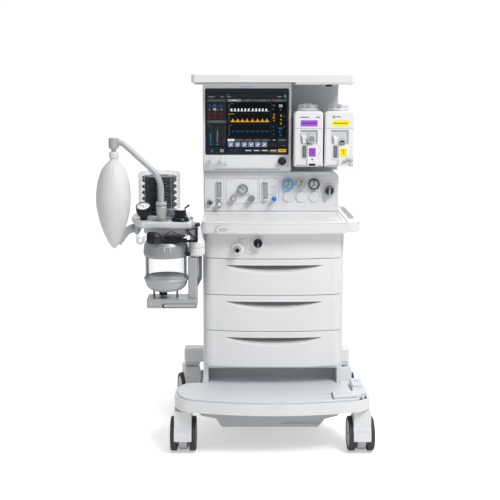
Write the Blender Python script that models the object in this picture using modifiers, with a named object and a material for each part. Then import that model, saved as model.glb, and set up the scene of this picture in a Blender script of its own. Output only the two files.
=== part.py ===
"""Anesthesia machine on a castored trolley: every physical piece is one named object.

All dimensions are in millimetres in a working frame (X to the right, Y to the
back from the front castor swivels, Z up from the floor). OFFSET_MM moves the
whole machine so that the origin is the centre of its footprint on the floor.
"""
import math

import bmesh
import bpy
from mathutils import Matrix, Vector

# ---------------------------------------------------------------- dimensions
OFFSET_MM = (130.0, -245.4, 0.0)

WHEEL_R = 62.5            # castor wheel radius
WHEEL_OUT = 47.0          # half width over both tyres
WHEEL_IN = 22.5           # half gap between the tyres
TRAIL = 25.0              # axle behind the swivel axis
FRONT_CASTORS = (326.0, -5.0)
REAR_CASTORS = (320.0, 495.0)
CASTORS = {               # name: (swivel x, swivel y, angle at rest)
    "fl": (-FRONT_CASTORS[0], FRONT_CASTORS[1], 0.0),
    "fr": (FRONT_CASTORS[0], FRONT_CASTORS[1], 0.0),
    "rl": (-REAR_CASTORS[0], REAR_CASTORS[1], 14.0),
    "rr": (REAR_CASTORS[0], REAR_CASTORS[1], 0.0),
}

BASE_Z0, BASE_Z1 = 174.0, 217.6
MAT_TOP = 226.0
BEAM = (-349.0, 341.0, 464.0, 526.0, 187.0, 246.0)

CAB_X0, CAB_X1 = -255.0, 264.5
CAB_Y0, CAB_Y1 = 105.0, 560.0
CAB_Z0, CAB_Z1 = 218.1, 805.4
WALL = 18.0
SPLITS = (299.0, 436.0, 572.0, 708.0)   # bottom, two splits, top of the drawers
FRONT_Y = 62.0            # crown of the bowed drawer fronts
FRONT_EDGE_Y = 88.0       # their edges
FRONT_BACK_Y = 104.4
DRAWER_DEPTH = 415.0

TOP_Z0, TOP_Z1 = 806.0, 849.0
CON_X0, CON_X1 = -259.0, 266.0
CON_Y0 = 300.0            # console face
CON_Z0, CON_Z1 = 849.6, 1004.0
BACK_Y = 560.0
NICHE_Y = 375.0           # vaporizer back panel
DIS_X0, DIS_X1 = -260.0, 78.0
DIS_Y0 = 270.0            # display face
SHELF = (-296.5, 302.5, 150.0, 566.0, 1338.2, 1377.0)

VAPORIZERS = {"left": (84.6, 193.6), "right": (199.5, 311.0)}
VAP_Y0, VAP_Y1 = 210.0, 360.0
VAP_Z0, VAP_Z1 = 1032.0, 1240.5
DIAL_R = 41.0
DIAL_Y = 268.0

ARM_AXIS = (-402.0, 60.0)
BAG_AXIS = (-570.0, 60.0)
BAG_R = 63.0
DOME_AXIS = (-421.7, 210.0)
DOME_R = 79.5
CAN_AXIS = (-387.0, 60.0)
CAN_R = 82.0

CABLE_D = 3.6
CABLE = [(-392, -26, 800), (-386, -30, 806), (-378, -32, 815), (-368, -30, 824),
         (-358, -28, 826), (-346, -28, 821), (-330, -28, 812), (-314, -27, 808),
         (-303, -24, 812), (-299, -20, 821), (-303, -15, 829), (-310, -13, 826),
         (-309, -12, 816), (-300, -9, 812), (-291, -4, 822), (-285, 2, 832),
         (-279, 12, 838), (-276, 24, 840)]

STEPS = 20

# ------------------------------------------------------------------- helpers
for old in list(bpy.data.objects):
    bpy.data.objects.remove(old, do_unlink=True)

machine = bpy.data.collections.new("anesthesia_machine")
cutters = bpy.data.collections.new("cutters")
bpy.context.scene.collection.children.link(machine)
bpy.context.scene.collection.children.link(cutters)
cutters.hide_render = True

MATERIALS = {}


def material(name, rgb, metal=0.0, rough=0.5, alpha=1.0):
    mat = bpy.data.materials.new(name)
    mat.use_nodes = True
    bsdf = mat.node_tree.nodes["Principled BSDF"]
    bsdf.inputs["Base Color"].default_value = (*rgb, 1.0)
    bsdf.inputs["Metallic"].default_value = metal
    bsdf.inputs["Roughness"].default_value = rough
    bsdf.inputs["Alpha"].default_value = alpha
    mat.diffuse_color = (*rgb, alpha)
    MATERIALS[name] = mat


material("white_plastic", (0.85, 0.86, 0.87), 0.0, 0.4)
material("grey_plastic", (0.55, 0.57, 0.6), 0.0, 0.5)
material("blue_grey_mat", (0.62, 0.66, 0.71), 0.0, 0.6)
material("painted_steel", (0.6, 0.61, 0.62), 0.2, 0.5)
material("black_plastic", (0.02, 0.022, 0.027), 0.0, 0.4)
material("navy_plastic", (0.03, 0.05, 0.1), 0.0, 0.4)
material("blue_plastic", (0.05, 0.2, 0.6), 0.0, 0.4)
material("tyre_rubber", (0.06, 0.065, 0.07), 0.0, 0.7)
material("bellows_rubber", (0.012, 0.018, 0.04), 0.0, 0.55)
material("bag_silicone", (0.86, 0.87, 0.87), 0.0, 0.45)
material("satin_metal", (0.62, 0.63, 0.64), 0.9, 0.35)
material("chrome", (0.78, 0.79, 0.8), 1.0, 0.15)
material("clear_plastic", (0.85, 0.9, 0.93), 0.0, 0.1, 0.3)
material("screen_glass", (0.01, 0.012, 0.02), 0.0, 0.1)


def finish(obj, mat, origin=None):
    """Give a node its material and, for a moving piece, an origin on its axis."""
    obj.data.materials.clear()
    obj.data.materials.append(MATERIALS[mat])
    if origin is not None:
        at = Vector(origin) * 0.001
        obj.data.transform(Matrix.Translation(-at))
        obj.location = at
    return obj


def link(bm, name, into=machine):
    bmesh.ops.remove_doubles(bm, verts=bm.verts, dist=1e-6)
    bmesh.ops.recalc_face_normals(bm, faces=bm.faces)
    mesh = bpy.data.meshes.new(name)
    bm.to_mesh(mesh)
    bm.free()
    obj = bpy.data.objects.new(name, mesh)
    into.objects.link(obj)
    return obj


def bevel(obj, width, segments=2, angle=35.0):
    mod = obj.modifiers.new("edge", "BEVEL")
    mod.width = width * 0.001
    mod.segments = segments
    mod.limit_method = "ANGLE"
    mod.angle_limit = math.radians(angle)
    mod.harden_normals = False
    return obj


def box(name, x0, x1, y0, y1, z0, z1, r=0.0, segments=2):
    bm = bmesh.new()
    bmesh.ops.create_cube(bm, size=1.0)
    size = Vector((x1 - x0, y1 - y0, z1 - z0)) * 0.001
    mid = Vector((x0 + x1, y0 + y1, z0 + z1)) * 0.0005
    bmesh.ops.transform(bm, matrix=Matrix.Translation(mid) @ Matrix.Diagonal((*size, 1.0)), verts=bm.verts)
    obj = link(bm, name)
    if r:
        bevel(obj, r, segments)
    return obj


def prism(name, outline, low, high, axis="Z", r=0.0, segments=2, angle=35.0):
    """An outline in the plane across the axis, extruded between two stations."""
    order = {"Z": (0, 1, 2), "Y": (0, 2, 1), "X": (1, 2, 0)}[axis]
    bm = bmesh.new()
    ring = []
    for a, b in outline:
        point = [0.0, 0.0, 0.0]
        point[order[0]], point[order[1]], point[order[2]] = a * 0.001, b * 0.001, low * 0.001
        ring.append(bm.verts.new(point))
    face = bm.faces.new(ring)
    moved = bmesh.ops.extrude_face_region(bm, geom=[face])
    shift = [0.0, 0.0, 0.0]
    shift[order[2]] = (high - low) * 0.001
    bmesh.ops.translate(bm, vec=shift, verts=[v for v in moved["geom"] if isinstance(v, bmesh.types.BMVert)])
    obj = link(bm, name)
    if r:
        bevel(obj, r, segments, angle)
    return obj


def turned(name, profile, at=(0, 0, 0), axis=(0, 0, 1), steps=STEPS):
    """A solid of revolution: profile points are (radius, station along the axis)."""
    bm = bmesh.new()
    verts = [bm.verts.new((r * 0.001, 0.0, h * 0.001)) for r, h in profile]
    edges = [bm.edges.new((verts[i], verts[i + 1])) for i in range(len(verts) - 1)]
    if profile[0][0] > 0.01 or profile[-1][0] > 0.01:
        edges.append(bm.edges.new((verts[-1], verts[0])))
    bmesh.ops.spin(bm, geom=verts + edges, cent=(0, 0, 0), axis=(0, 0, 1), angle=2 * math.pi, steps=steps, use_merge=True)
    turn = Vector((0, 0, 1)).rotation_difference(Vector(axis).normalized()).to_matrix().to_4x4()
    bmesh.ops.transform(bm, matrix=Matrix.Translation(Vector(at) * 0.001) @ turn, verts=bm.verts)
    return link(bm, name)


def drum(name, r, low, high, at=(0, 0, 0), axis=(0, 0, 1), edge=0.0, steps=STEPS):
    """A plain cylinder between two stations, with an optional eased edge."""
    if edge:
        profile = [(0, high), (r - edge, high), (r, high - edge), (r, low + edge), (r - edge, low), (0, low)]
    else:
        profile = [(0, high), (r, high), (r, low), (0, low)]
    return turned(name, profile, at, axis, steps)


def ball(name, at, radii, u=24, v=12):
    bm = bmesh.new()
    bmesh.ops.create_uvsphere(bm, u_segments=u, v_segments=v, radius=1.0)
    size = Matrix.Diagonal((radii[0] * 0.001, radii[1] * 0.001, radii[2] * 0.001, 1.0))
    bmesh.ops.transform(bm, matrix=Matrix.Translation(Vector(at) * 0.001) @ size, verts=bm.verts)
    return link(bm, name)


def tube(name, points, r, sides=3):
    """A round bar along a route, as a mesh with closed ends."""
    curve = bpy.data.curves.new(name, "CURVE")
    curve.dimensions = "3D"
    curve.bevel_depth = r * 0.001
    curve.bevel_resolution = sides
    curve.use_fill_caps = True
    spline = curve.splines.new("POLY")
    spline.points.add(len(points) - 1)
    for node, point in zip(spline.points, points):
        node.co = (*(c * 0.001 for c in point), 1.0)
    temp = bpy.data.objects.new(name + "_route", curve)
    machine.objects.link(temp)
    bpy.context.view_layer.update()
    mesh = bpy.data.meshes.new_from_object(temp.evaluated_get(bpy.context.evaluated_depsgraph_get()))
    bpy.data.objects.remove(temp, do_unlink=True)
    bm = bmesh.new()
    bm.from_mesh(mesh)
    return link(bm, name)


def smooth_route(points, radius, steps=5):
    """Round the corners of a route with arcs of about this radius."""
    pts = [Vector(p) for p in points]
    out = [pts[0]]
    for a, b, c in zip(pts, pts[1:], pts[2:]):
        u, w = (a - b).normalized(), (c - b).normalized()
        reach = min(radius, (a - b).length * 0.45, (c - b).length * 0.45)
        for i in range(steps + 1):
            t = i / steps
            out.append((b + u * reach) * (1 - t) ** 2 + b * 2 * t * (1 - t) + (b + w * reach) * t ** 2)
    out.append(pts[-1])
    return [tuple(p) for p in out]


def helper(obj):
    machine.objects.unlink(obj)
    cutters.objects.link(obj)
    obj.hide_render = True
    obj.display_type = "WIRE"


def combine(obj, others, operation):
    for other in others:
        helper(other)
        mod = obj.modifiers.new(other.name, "BOOLEAN")
        mod.operation = operation
        mod.solver = "EXACT"
        mod.object = other
    return obj


def cut(obj, *others):
    return combine(obj, others, "DIFFERENCE")


def add(obj, *others):
    return combine(obj, others, "UNION")


def arc(cx, cy, r, a0, a1, n):
    return [(cx + r * math.cos(math.radians(a0 + (a1 - a0) * i / n)), cy + r * math.sin(math.radians(a0 + (a1 - a0) * i / n))) for i in range(n + 1)]


def bowed(x0, x1, y_edge, y_crown, y_back, r=10.0, n=10):
    """Plan outline of a panel with a bowed front and rounded front corners."""
    mid, half = (x0 + x1) / 2, (x1 - x0) / 2
    front = []
    for i in range(n + 1):
        x = x0 + r + (x1 - x0 - 2 * r) * i / n
        front.append((x, y_crown + (y_edge - y_crown) * ((x - mid) / half) ** 2))
    left = [(x0, y_edge + r), (x0 + 0.3 * r, y_edge + 0.3 * r)]
    right = [(x1 - 0.3 * r, y_edge + 0.3 * r), (x1, y_edge + r)]
    return left + front + right + [(x1, y_back), (x0, y_back)]


# ---------------------------------------------------------------------- base
def base_outline(inset=0.0, back=446.0, neck=(-262.0, 271.0)):
    k = inset
    front = [(x, -99.0 + k + 38.0 * (x / 312.0) ** 2) for x in (-300, -240, -180, -120, -60, 0, 60, 120, 180, 240, 300)]
    right = [(330 - k, -50 + k * 0.7), (348 - k, -30 + k * 0.4), (357 - k, 5), (357 - k, 45), (350 - k, 78 - k * 0.3), (334 - k * 0.8, 104 - k * 0.8), (308 - k * 0.5, 120 - k)]
    left = [(-x, y) for x, y in reversed(right)]
    rear = [(neck[1] - k, 128 - k), (neck[1] - k, back - k), (neck[0] + k, back - k), (neck[0] + k, 128 - k)]
    return front + right + rear + left


cover = prism("base_cover", base_outline(), BASE_Z0, BASE_Z1, r=5.0, angle=50)
cut(cover,
    prism("base_pocket", base_outline(6.0), BASE_Z0 - 5, BASE_Z1 - 6),
    box("base_rear_way", -240, 249, 400, 460, BASE_Z0 - 5, BASE_Z1 - 6),
    prism("pedal_well", [(212, -72), (322, -52), (322, -3), (212, -3)], BASE_Z1 - 15, BASE_Z1 + 5),
    box("pedal_well_tab", 288, 340, -40, 106, BASE_Z1 - 15, BASE_Z1 + 5))
finish(cover, "white_plastic")

mat_plate = prism("foot_mat", [(x, y) for x, y in
                  [(x, -96.0 + 38.0 * (x / 312.0) ** 2) for x in (-290, -230, -170, -110, -50, 0, 50, 110, 170, 230, 290)]
                  + [(318, -46), (336, -28), (346, 6), (346, 44), (339, 72), (322, 98), (296, 104), (244.1, 104), (244.1, 236), (-234.7, 236), (-234.7, 104)]
                  + [(-296, 104), (-322, 98), (-339, 72), (-346, 44), (-346, 6), (-336, -28), (-318, -46)]],
                  BASE_Z1 + 0.4, MAT_TOP, r=2.0, angle=50)
add(mat_plate, box("kick_wall", -236.6, 246.1, 222, 235.5, MAT_TOP - 3, 284.0))
cut(mat_plate, prism("pedal_gap", [(212.5, -71.5), (300, -54), (300, -100), (370, -100), (370, 105.5), (288.5, 105.5), (288.5, -3.5), (212.5, -3.5)], 200, 260))
finish(mat_plate, "blue_grey_mat")

pedal = prism("brake_pedal", [(216, -68), (318, -49), (318, -8), (216, -8)], 219.5, 238, r=3)
add(pedal, box("pedal_tab", 292.5, 335.5, -35, 100, 221, 247, r=4))
finish(pedal, "blue_grey_mat", (314.0, 92.0, 232.0))

chassis = prism("chassis_frame", [(-347, -2), (-332, -32), (332, -32), (347, -2), (347, 50), (338, 78), (-338, 78), (-347, 50)], 180, 206)
add(chassis,
    box("chassis_spine", -215, 224, 50, 440, 182, 204),
    box("chassis_link", -215, 224, 430, 470, 182, 204),
    box("rear_beam", *BEAM, r=7),
    box("rear_pod_left", -349 + 3, -284, 467, 523, 174, 195, r=3),
    box("rear_pod_right", 276, 341 - 3, 467, 523, 174, 195, r=3))
cut(chassis, *[drum("swivel_bore_" + key, 10.6, 150, 212, (x, y, 0), steps=20) for key, (x, y, _) in CASTORS.items()])
finish(chassis, "white_plastic")

PAN = [(-284, 172), (-262, 138), (-204, 138), (-184, 103.5), (198, 103.5), (220, 138), (242, 138), (262, 172)]
pan = prism("bottom_pan", [(x, z) for x, z in PAN], -24, 412, axis="Y")
cut(pan, prism("pan_inside", [(-279, 175), (-259, 141), (-202, 141), (-182, 106.5), (196, 106.5), (218, 141), (239, 141), (257, 175)], -21, 409, axis="Y"))
finish(pan, "painted_steel")

# ------------------------------------------------------------------- castors
HOOD = [(-66.5 * math.cos(math.radians(a)), 66.5 * math.sin(math.radians(a))) for a in range(-2, 152, 14)]
HOOD_IN = [(-63.7 * math.cos(math.radians(a)), 63.7 * math.sin(math.radians(a))) for a in range(-2, 152, 14)]
band = [(y + TRAIL, z + WHEEL_R + 0.9) for y, z in HOOD] + [(y + TRAIL, z + WHEEL_R + 0.9) for y, z in reversed(HOOD_IN)]
fork_shape = prism("castor_fork", band, -32, 32, axis="X")
add(fork_shape,
    drum("castor_web", 58, -20.5, 20.5, (0, TRAIL, WHEEL_R + 0.9), (1, 0, 0), steps=24),
    box("castor_rib", -18.5, 18.5, TRAIL - 41, TRAIL + 33, 91, 115),
    turned("castor_boss", [(0, 166), (26, 166), (28, 164), (28, 128), (17, 122), (17, 93), (0, 93)]),
    drum("castor_stem", 10, 150, 202, steps=16))
cut(fork_shape, drum("axle_bore", 11.3, -40, 40, (0, TRAIL, WHEEL_R), (1, 0, 0), steps=24), box("web_foot", -40, 40, -80, 140, -20, 14))
bpy.context.view_layer.update()
fork_mesh = bpy.data.meshes.new_from_object(fork_shape.evaluated_get(bpy.context.evaluated_depsgraph_get()))
for obj in [fork_shape] + [mod.object for mod in fork_shape.modifiers]:
    bpy.data.objects.remove(obj, do_unlink=True)

for key, (sx, sy, turn) in CASTORS.items():
    spin = Matrix.Translation(Vector((sx, sy, 0)) * 0.001) @ Matrix.Rotation(math.radians(turn), 4, "Z")
    fork = bpy.data.objects.new("caster_fork_" + key, fork_mesh.copy())
    machine.objects.link(fork)
    wheels = turned("caster_wheels_" + key, [
        (0, WHEEL_OUT - 6), (34, WHEEL_OUT - 6), (40, WHEEL_OUT), (58, WHEEL_OUT), (WHEEL_R, WHEEL_OUT - 6), (WHEEL_R, WHEEL_IN + 4), (59.5, WHEEL_IN),
        (11, WHEEL_IN), (11, -WHEEL_IN), (59.5, -WHEEL_IN), (WHEEL_R, -WHEEL_IN - 4), (WHEEL_R, -WHEEL_OUT + 6), (58, -WHEEL_OUT), (40, -WHEEL_OUT), (34, -WHEEL_OUT + 6), (0, -WHEEL_OUT + 6)],
        (0, TRAIL, WHEEL_R), (1, 0, 0), steps=24)
    for piece in (fork, wheels):
        piece.data.transform(spin)
    finish(fork, "white_plastic", (sx, sy, 148))
    axle = spin @ (Vector((0, TRAIL, WHEEL_R)) * 0.001)
    finish(wheels, "tyre_rubber", tuple(axle * 1000))

# ------------------------------------------------------------------- cabinet
shell = box("cabinet_shell", CAB_X0, CAB_X1, CAB_Y0, CAB_Y1, CAB_Z0, CAB_Z1, r=3)
for index, (low, high) in enumerate(zip(SPLITS, SPLITS[1:])):
    cut(shell, box("drawer_bay_%d" % index, CAB_X0 + WALL, CAB_X1 - WALL, CAB_Y0 - 10, 540, low + 3, high - 3))
cut(shell,
    box("kick_space", CAB_X0 + WALL, CAB_X1 - WALL, CAB_Y0 - 10, 237, CAB_Z0 - 5, 284.4),
    box("beam_notch", CAB_X0 - 5, CAB_X1 + 5, BEAM[2] - 0.6, BEAM[3] + 0.6, CAB_Z0 - 5, BEAM[5] + 0.5),
    box("lower_bay", CAB_X0 + WALL, CAB_X1 - WALL, 250, 440, CAB_Z0 - 5, 280),
    box("service_bay", CAB_X0 + WALL, CAB_X1 - WALL, CAB_Y0 - 10, 540, 718, 795))
finish(shell, "white_plastic")

def grip_cutter(name, high):
    """The finger recess: flat under its upper edge and fading out below, widest in the middle."""
    scoop = ball(name, (7, 58, high - 24), (200, 27, 30))
    cut(scoop, box(name + "_flat", -260, 280, 0, 120, high - 21, high + 40))
    return scoop


for number, name in ((2, "drawer_top"), (1, "drawer_middle"), (0, "drawer_bottom")):
    low, high = SPLITS[number] + 1.5, SPLITS[number + 1] - 1.5
    front = prism(name, bowed(-245.5, 254.5, FRONT_EDGE_Y, FRONT_Y, FRONT_BACK_Y, 11), low, high, r=3.0, angle=50)
    tray = box(name + "_tray", -231, 240, FRONT_BACK_Y - 4, FRONT_BACK_Y + DRAWER_DEPTH, low + 9, high - 20)
    add(front, tray)
    cut(front,
        box(name + "_inside", -228.5, 237.5, FRONT_BACK_Y, FRONT_BACK_Y + DRAWER_DEPTH - 2.5, low + 11.5, high + 20),
        grip_cutter(name + "_grip", high))
    finish(front, "white_plastic")

fascia = prism("outlet_fascia", bowed(-245.5, 254.5, FRONT_EDGE_Y, FRONT_Y, FRONT_BACK_Y, 11), 710, 804.4, r=3.0, angle=50)
finish(fascia, "white_plastic")
outlet = turned("fresh_gas_outlet", [(7.5, 34), (11, 34), (12.5, 31), (15, 14), (22, 10), (23, 3), (23, 0), (0, 0), (0, 12), (7.5, 12)], (-128, 67.0, 746), (0, -1, 0))
finish(outlet, "chrome")
selector = turned("outlet_selector", [(0, 20), (13, 20), (15, 18), (15.5, 6), (23, 6), (25.5, 3), (25.5, 0), (0, 0)], (-53, 62.0, 768), (0, -1, 0))
add(selector, box("selector_bar", -56.5, -49.5, 34, 46, 754, 782, r=1.5))
finish(selector, "black_plastic", (-53, 62, 768))

# ------------------------------------------------------------------- worktop
WORKTOP_X0, WORKTOP_X1 = -258.0, 267.4


def oval(name, half_x, half_z, y0, y1, r=0.0):
    ring = [(-179.6 + half_x * math.cos(math.radians(a)), 823 + half_z * math.sin(math.radians(a))) for a in range(0, 360, 18)]
    return prism(name, ring, y0, y1, axis="Y", r=r, angle=50)


# the front corner is rounded on the left; on the right the front runs on into the side handle
top_outline = [p for p in bowed(WORKTOP_X0, WORKTOP_X1, 40, 20, BACK_Y, 22, 12) if p[0] < WORKTOP_X1 - 21.0 or p[1] > 540]
top_outline.insert(-2, (WORKTOP_X1 - 9.0, 39.0))
top_outline.insert(-2, (WORKTOP_X1, 40.0))
worktop = prism("worktop", top_outline, TOP_Z0, TOP_Z1, r=4.0, angle=50)
cut(worktop,
    prism("worktop_dish", bowed(WORKTOP_X0 + 12, WORKTOP_X1 - 12, 52, 32, CON_Y0 - 8, 20, 12), TOP_Z1 - 3, TOP_Z1 + 10),
    oval("button_well", 25.6, 15.4, 10, 46))
finish(worktop, "white_plastic")
button = oval("oxygen_flush_button", 25.0, 14.8, 20.5, 40, 1.5)
finish(button, "grey_plastic", (-179.6, 20.5, 823))
handle_out = [(267.9, 41), (286, 42), (303, 48), (314, 62), (320, 86), (320.8, 120), (321, 200), (321, 420), (318, 470), (308, 500), (290, 520), (267.9, 528)]
handle = prism("side_handle", handle_out, 810, 850, r=5, angle=50)
cut(handle, prism("finger_gap", [(284, 110), (298, 118), (302, 140), (303, 200), (303, 400), (300, 436), (284, 452)], 800, 860))
finish(handle, "white_plastic")

# ------------------------------------------------------------------- console
console = prism("console_housing", [(CON_X0, CON_Z0), (CON_X1, CON_Z0), (CON_X1, 978), (240, CON_Z1), (CON_X0, CON_Z1)], CON_Y0, BACK_Y, axis="Y", r=6, angle=20)
for gx in (70, 119.5, 170):
    add(console, drum("cap_%d" % gx, 21, -2, 9, (gx, CON_Y0, 906), (0, -1, 0), edge=2))
add(console,
    turned("power_bezel", [(0, 6), (20, 6), (29, 3), (29.5, -2), (0, -2)], (228, CON_Y0, 932), (0, -1, 0)),
    drum("oxygen_port", 10, -2, 12, (-234, CON_Y0, 884.5), (0, -1, 0), edge=1.5))
cut(console, drum("oxygen_port_bore", 5, 0, 30, (-234, CON_Y0 - 13, 884.5), (0, 1, 0), steps=16))
finish(console, "white_plastic")

finish(box("auxiliary_flowmeter", -208.5, -186, 288, 299.6, 899, 970, r=3), "clear_plastic")
finish(box("total_flowmeter", -30, -7, 288, 299.6, 893, 969, r=3), "clear_plastic")


def dial(name, x, z, r, y=CON_Y0 - 0.4, depth=13.0):
    return turned(name, [(0, depth - 3), (r - 3, depth - 3), (r - 2, depth), (r, depth - 1), (r, 0), (0, 0)], (x, y, z), (0, -1, 0), steps=24)


finish(dial("suction_gauge", -106.2, 937.3, 20), "chrome")
cluster = box("gauge_cluster", 62, 176, CON_Y0 - 6.4, CON_Y0 - 0.4, 944, 969, r=1)
add(cluster, dial("gauge_air", 69.5, 956.5, 22), dial("gauge_oxygen", 118.8, 956.5, 22), dial("gauge_nitrous", 168.6, 956.5, 22))
finish(cluster, "chrome")


def knob(name, x, z, r, length, mat, shaft=0.0, y=CON_Y0 - 0.4, grip=True):
    profile = [(0, length), (r - 1.5, length), (r, length - 1.5), (r, 6), (shaft or r * 0.7, 5), (shaft or r * 0.7, 0), (0, 0)]
    obj = turned(name, profile, (x, y, z), (0, -1, 0))
    return finish(obj, mat, (x, y, z))


knob("suction_mode_knob", -142.6, 901.7, 12, 24, "grey_plastic")
knob("suction_regulator_knob", -72, 901.7, 12.5, 28, "grey_plastic")
knob("auxiliary_flow_knob", -197.3, 880.2, 11, 26, "white_plastic")
knob("total_flow_knob", 14.5, 901.7, 9.5, 34, "blue_plastic", 6)
power = turned("power_switch_knob", [(0, 18), (14, 18), (16.5, 15), (17, 0), (0, 0)], (228, CON_Y0 - 6.4, 932), (0, -1, 0))
add(power, box("power_pointer", 224.5, 231.5, CON_Y0 - 29, CON_Y0 - 20, 917, 947, r=1.5))
finish(power, "grey_plastic", (228, CON_Y0 - 6.4, 932))

# ---------------------------------------------------------- column and screen
column = prism("column_housing", [(-258, 330.4), (78.6, 330.4), (78.6, NICHE_Y), (268, NICHE_Y), (268, BACK_Y), (-258, BACK_Y)], CON_Z1 + 0.5, SHELF[4] - 0.5, r=5, angle=50)
add(column, box("vaporizer_rail", 96, 258, 362, 378, 1120, 1150))
finish(column, "white_plastic")

display = prism("display_housing", [(DIS_Y0, 1345.2), (DIS_Y0, 1024), (276, 1012), (290, 1006), (329.9, 1006), (329.9, 1345.2)], DIS_X0, DIS_X1, axis="X", r=5, angle=50)
cut(display, box("screen_seat", -253.5, 71, DIS_Y0 - 5, DIS_Y0 + 8, 1069, 1327),
    box("hose_slot", -215, 35, DIS_Y0 - 5, DIS_Y0 + 4, 1014.5, 1017.5))
finish(display, "white_plastic")
finish(box("display_screen", -253, 70.5, DIS_Y0 - 3.0, DIS_Y0 + 7.5, 1069.5, 1326.5, r=2.5), "screen_glass")
encoder = turned("encoder_knob", [(0, 18), (13.5, 18), (15, 16), (15.5, 1), (15.5, 0), (0, 0)], (43.2, DIS_Y0 - 0.4, 1048.5), (0, -1, 0))
finish(encoder, "navy_plastic", (43.2, DIS_Y0 - 0.4, 1048.5))

shelf = box("top_shelf", SHELF[0], SHELF[1], SHELF[2], SHELF[3], SHELF[4], SHELF[5], r=7, segments=3)
cut(shelf, box("shelf_step", -330, 86, 120, 332, 1300, 1345.8))
finish(shelf, "white_plastic")

for side, (x0, x1) in VAPORIZERS.items():
    mid = (x0 + x1) / 2
    body = prism("vaporizer_" + side, [(x0, VAP_Z0), (x1, VAP_Z0), (x1, VAP_Z1 - 16), (x1 - 5, VAP_Z1 - 5), (x1 - 16, VAP_Z1), (x0 + 16, VAP_Z1), (x0 + 5, VAP_Z1 - 5), (x0, VAP_Z1 - 16)], VAP_Y0, VAP_Y1, axis="Y", r=4, angle=20)
    cut(body, box("bay_" + side, mid - 31, mid + 33, VAP_Y0 - 5, VAP_Y0 + 7, 1117, 1170),
        box("rail_slot_" + side, x0 - 5, x1 + 5, 361, 380, 1118, 1152))
    finish(body, "white_plastic")
    turner = turned("vaporizer_dial_" + side, [(0, 27), (16, 27), (20, 23), (DIAL_R - 3, 21), (DIAL_R, 18), (DIAL_R, 3), (DIAL_R - 3, 0), (0, 0)], (mid, DIAL_Y, VAP_Z1 + 0.4), steps=28)
    finish(turner, "white_plastic", (mid, DIAL_Y, VAP_Z1))
filler = turned("vaporizer_filler_cap", [(0, 22), (14, 22), (17, 19), (17, 4), (13, 2), (13, 0), (0, 0)], (149, VAP_Y0 + 6.6, 1137), (0, -1, 0))
finish(filler, "grey_plastic", (149, VAP_Y0 + 6.6, 1137))

# --------------------------------------------------------- breathing circuit
mount = turned("circuit_mount", [(0, 850), (11, 850), (15, 828), (24, 786), (30, 776), (30, 732), (27, 726), (0, 726)], (-274.6, 45, 0))
add(mount, box("mount_arm", -300, -257, 50, 250, 736, 772, r=4),
    box("mount_foot", -272, -257, 215, 300, 700, 800, r=3))
finish(mount, "white_plastic")

BLOCK = [(-462, 20), (-300, 12), (-292, 20), (-290, 126), (-300, 150), (-312, 292), (-490, 304), (-512, 285), (-518, 180)]
block = prism("breathing_block", BLOCK, 831, 850, r=3, angle=30)
add(block,
    prism("block_body", [(-450, 30), (-306, 24), (-306, 180), (-340, 280), (-470, 285), (-490, 200)], 790, 833),
    turned("block_socket", [(0, 905), (17, 905), (20, 902), (20, 888), (17, 870), (17, 862), (26, 857), (26, 848), (0, 848)], (*ARM_AXIS, 0)),
    turned("apl_base", [(0, 866), (24, 866), (30, 861), (32.5, 855), (32.5, 848), (0, 848)], (-334, 60, 0)),
    box("block_lug", -312, -268, 84, 126, 796, 834),
    box("block_strap", -392, -306, -14, 40, 784, 792.5),
    box("strap_end", -310, -268, -14, 8, 784, 792.5))
add(block, box("strap_post", -276, -268.0, -14, 8, 786, 836))
cut(block, drum("arm_socket_bore", 10.6, 870, 930, (*ARM_AXIS, 0), steps=20),
    turned("mount_clearance", [(0, 860), (14, 860), (18, 828), (27, 786), (34, 778), (34, 720), (0, 720)], (-274.6, 45, 0)))
finish(block, "grey_plastic")

finish(turned("bellows_dome", [(0, 1014), (DOME_R - 6, 1014), (DOME_R - 1, 1011), (DOME_R, 1005), (DOME_R, 850.4), (DOME_R - 3, 850.4), (DOME_R - 3, 1004), (DOME_R - 7, 1010), (0, 1010)], (*DOME_AXIS, 0), steps=28), "clear_plastic")
pleats = []
for i in range(6):
    z = 990 - i * 22.5
    pleats += [(66.5, z - 1), (57, z - 12.2)]
finish(turned("bellows", [(0, 990), (60, 990)] + pleats[:-1] + [(57, 863), (57, 850.6), (0, 850.6)], (*DOME_AXIS, 0), steps=24), "bellows_rubber")
disc = drum("bellows_disc", 66, 990.6, 999, (*DOME_AXIS, 0), edge=1.5, steps=24)
finish(disc, "black_plastic", (*DOME_AXIS, 995))

gauge = turned("airway_gauge", [(0, 30), (24, 30), (27.5, 27), (28, 8), (22, -8), (14, -16), (0, -16)], (-467, 80, 878), (-0.05, -0.42, 0.9))
add(gauge, drum("gauge_stem", 13, 850.4, 872, (-469, 84, 0)))
finish(gauge, "black_plastic")

arm_route = smooth_route([(*ARM_AXIS, 874), (*ARM_AXIS, 1006), (-538, 60, 1131), (-556, 60, 1133)], 40, 4)
arm = tube("bag_arm", arm_route, 10.2, 2)
add(arm,
    turned("arm_elbow", [(0, 1150), (16, 1150), (18, 1148), (18, 1112), (9, 1108), (9, 1100), (16.5, 1100), (18, 1098), (18, 1079), (14, 1076), (0, 1076)], (*BAG_AXIS, 0)),
    turned("arm_collar", [(0, 920), (18, 920), (20.3, 917), (20.3, 907), (16, 905.6), (0, 905.6)], (*ARM_AXIS, 0)))
finish(arm, "satin_metal", (*ARM_AXIS, 905))
finish(turned("breathing_bag", [(0, 1075.5), (13, 1075.5), (20, 1068), (38, 1045), (51, 1015), (59, 980), (BAG_R, 935), (61, 895), (53, 850), (40, 810), (24, 776), (10, 756), (3, 748), (0, 747)], (*BAG_AXIS, 0), steps=24), "bag_silicone", (*ARM_AXIS, 905))

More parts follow.
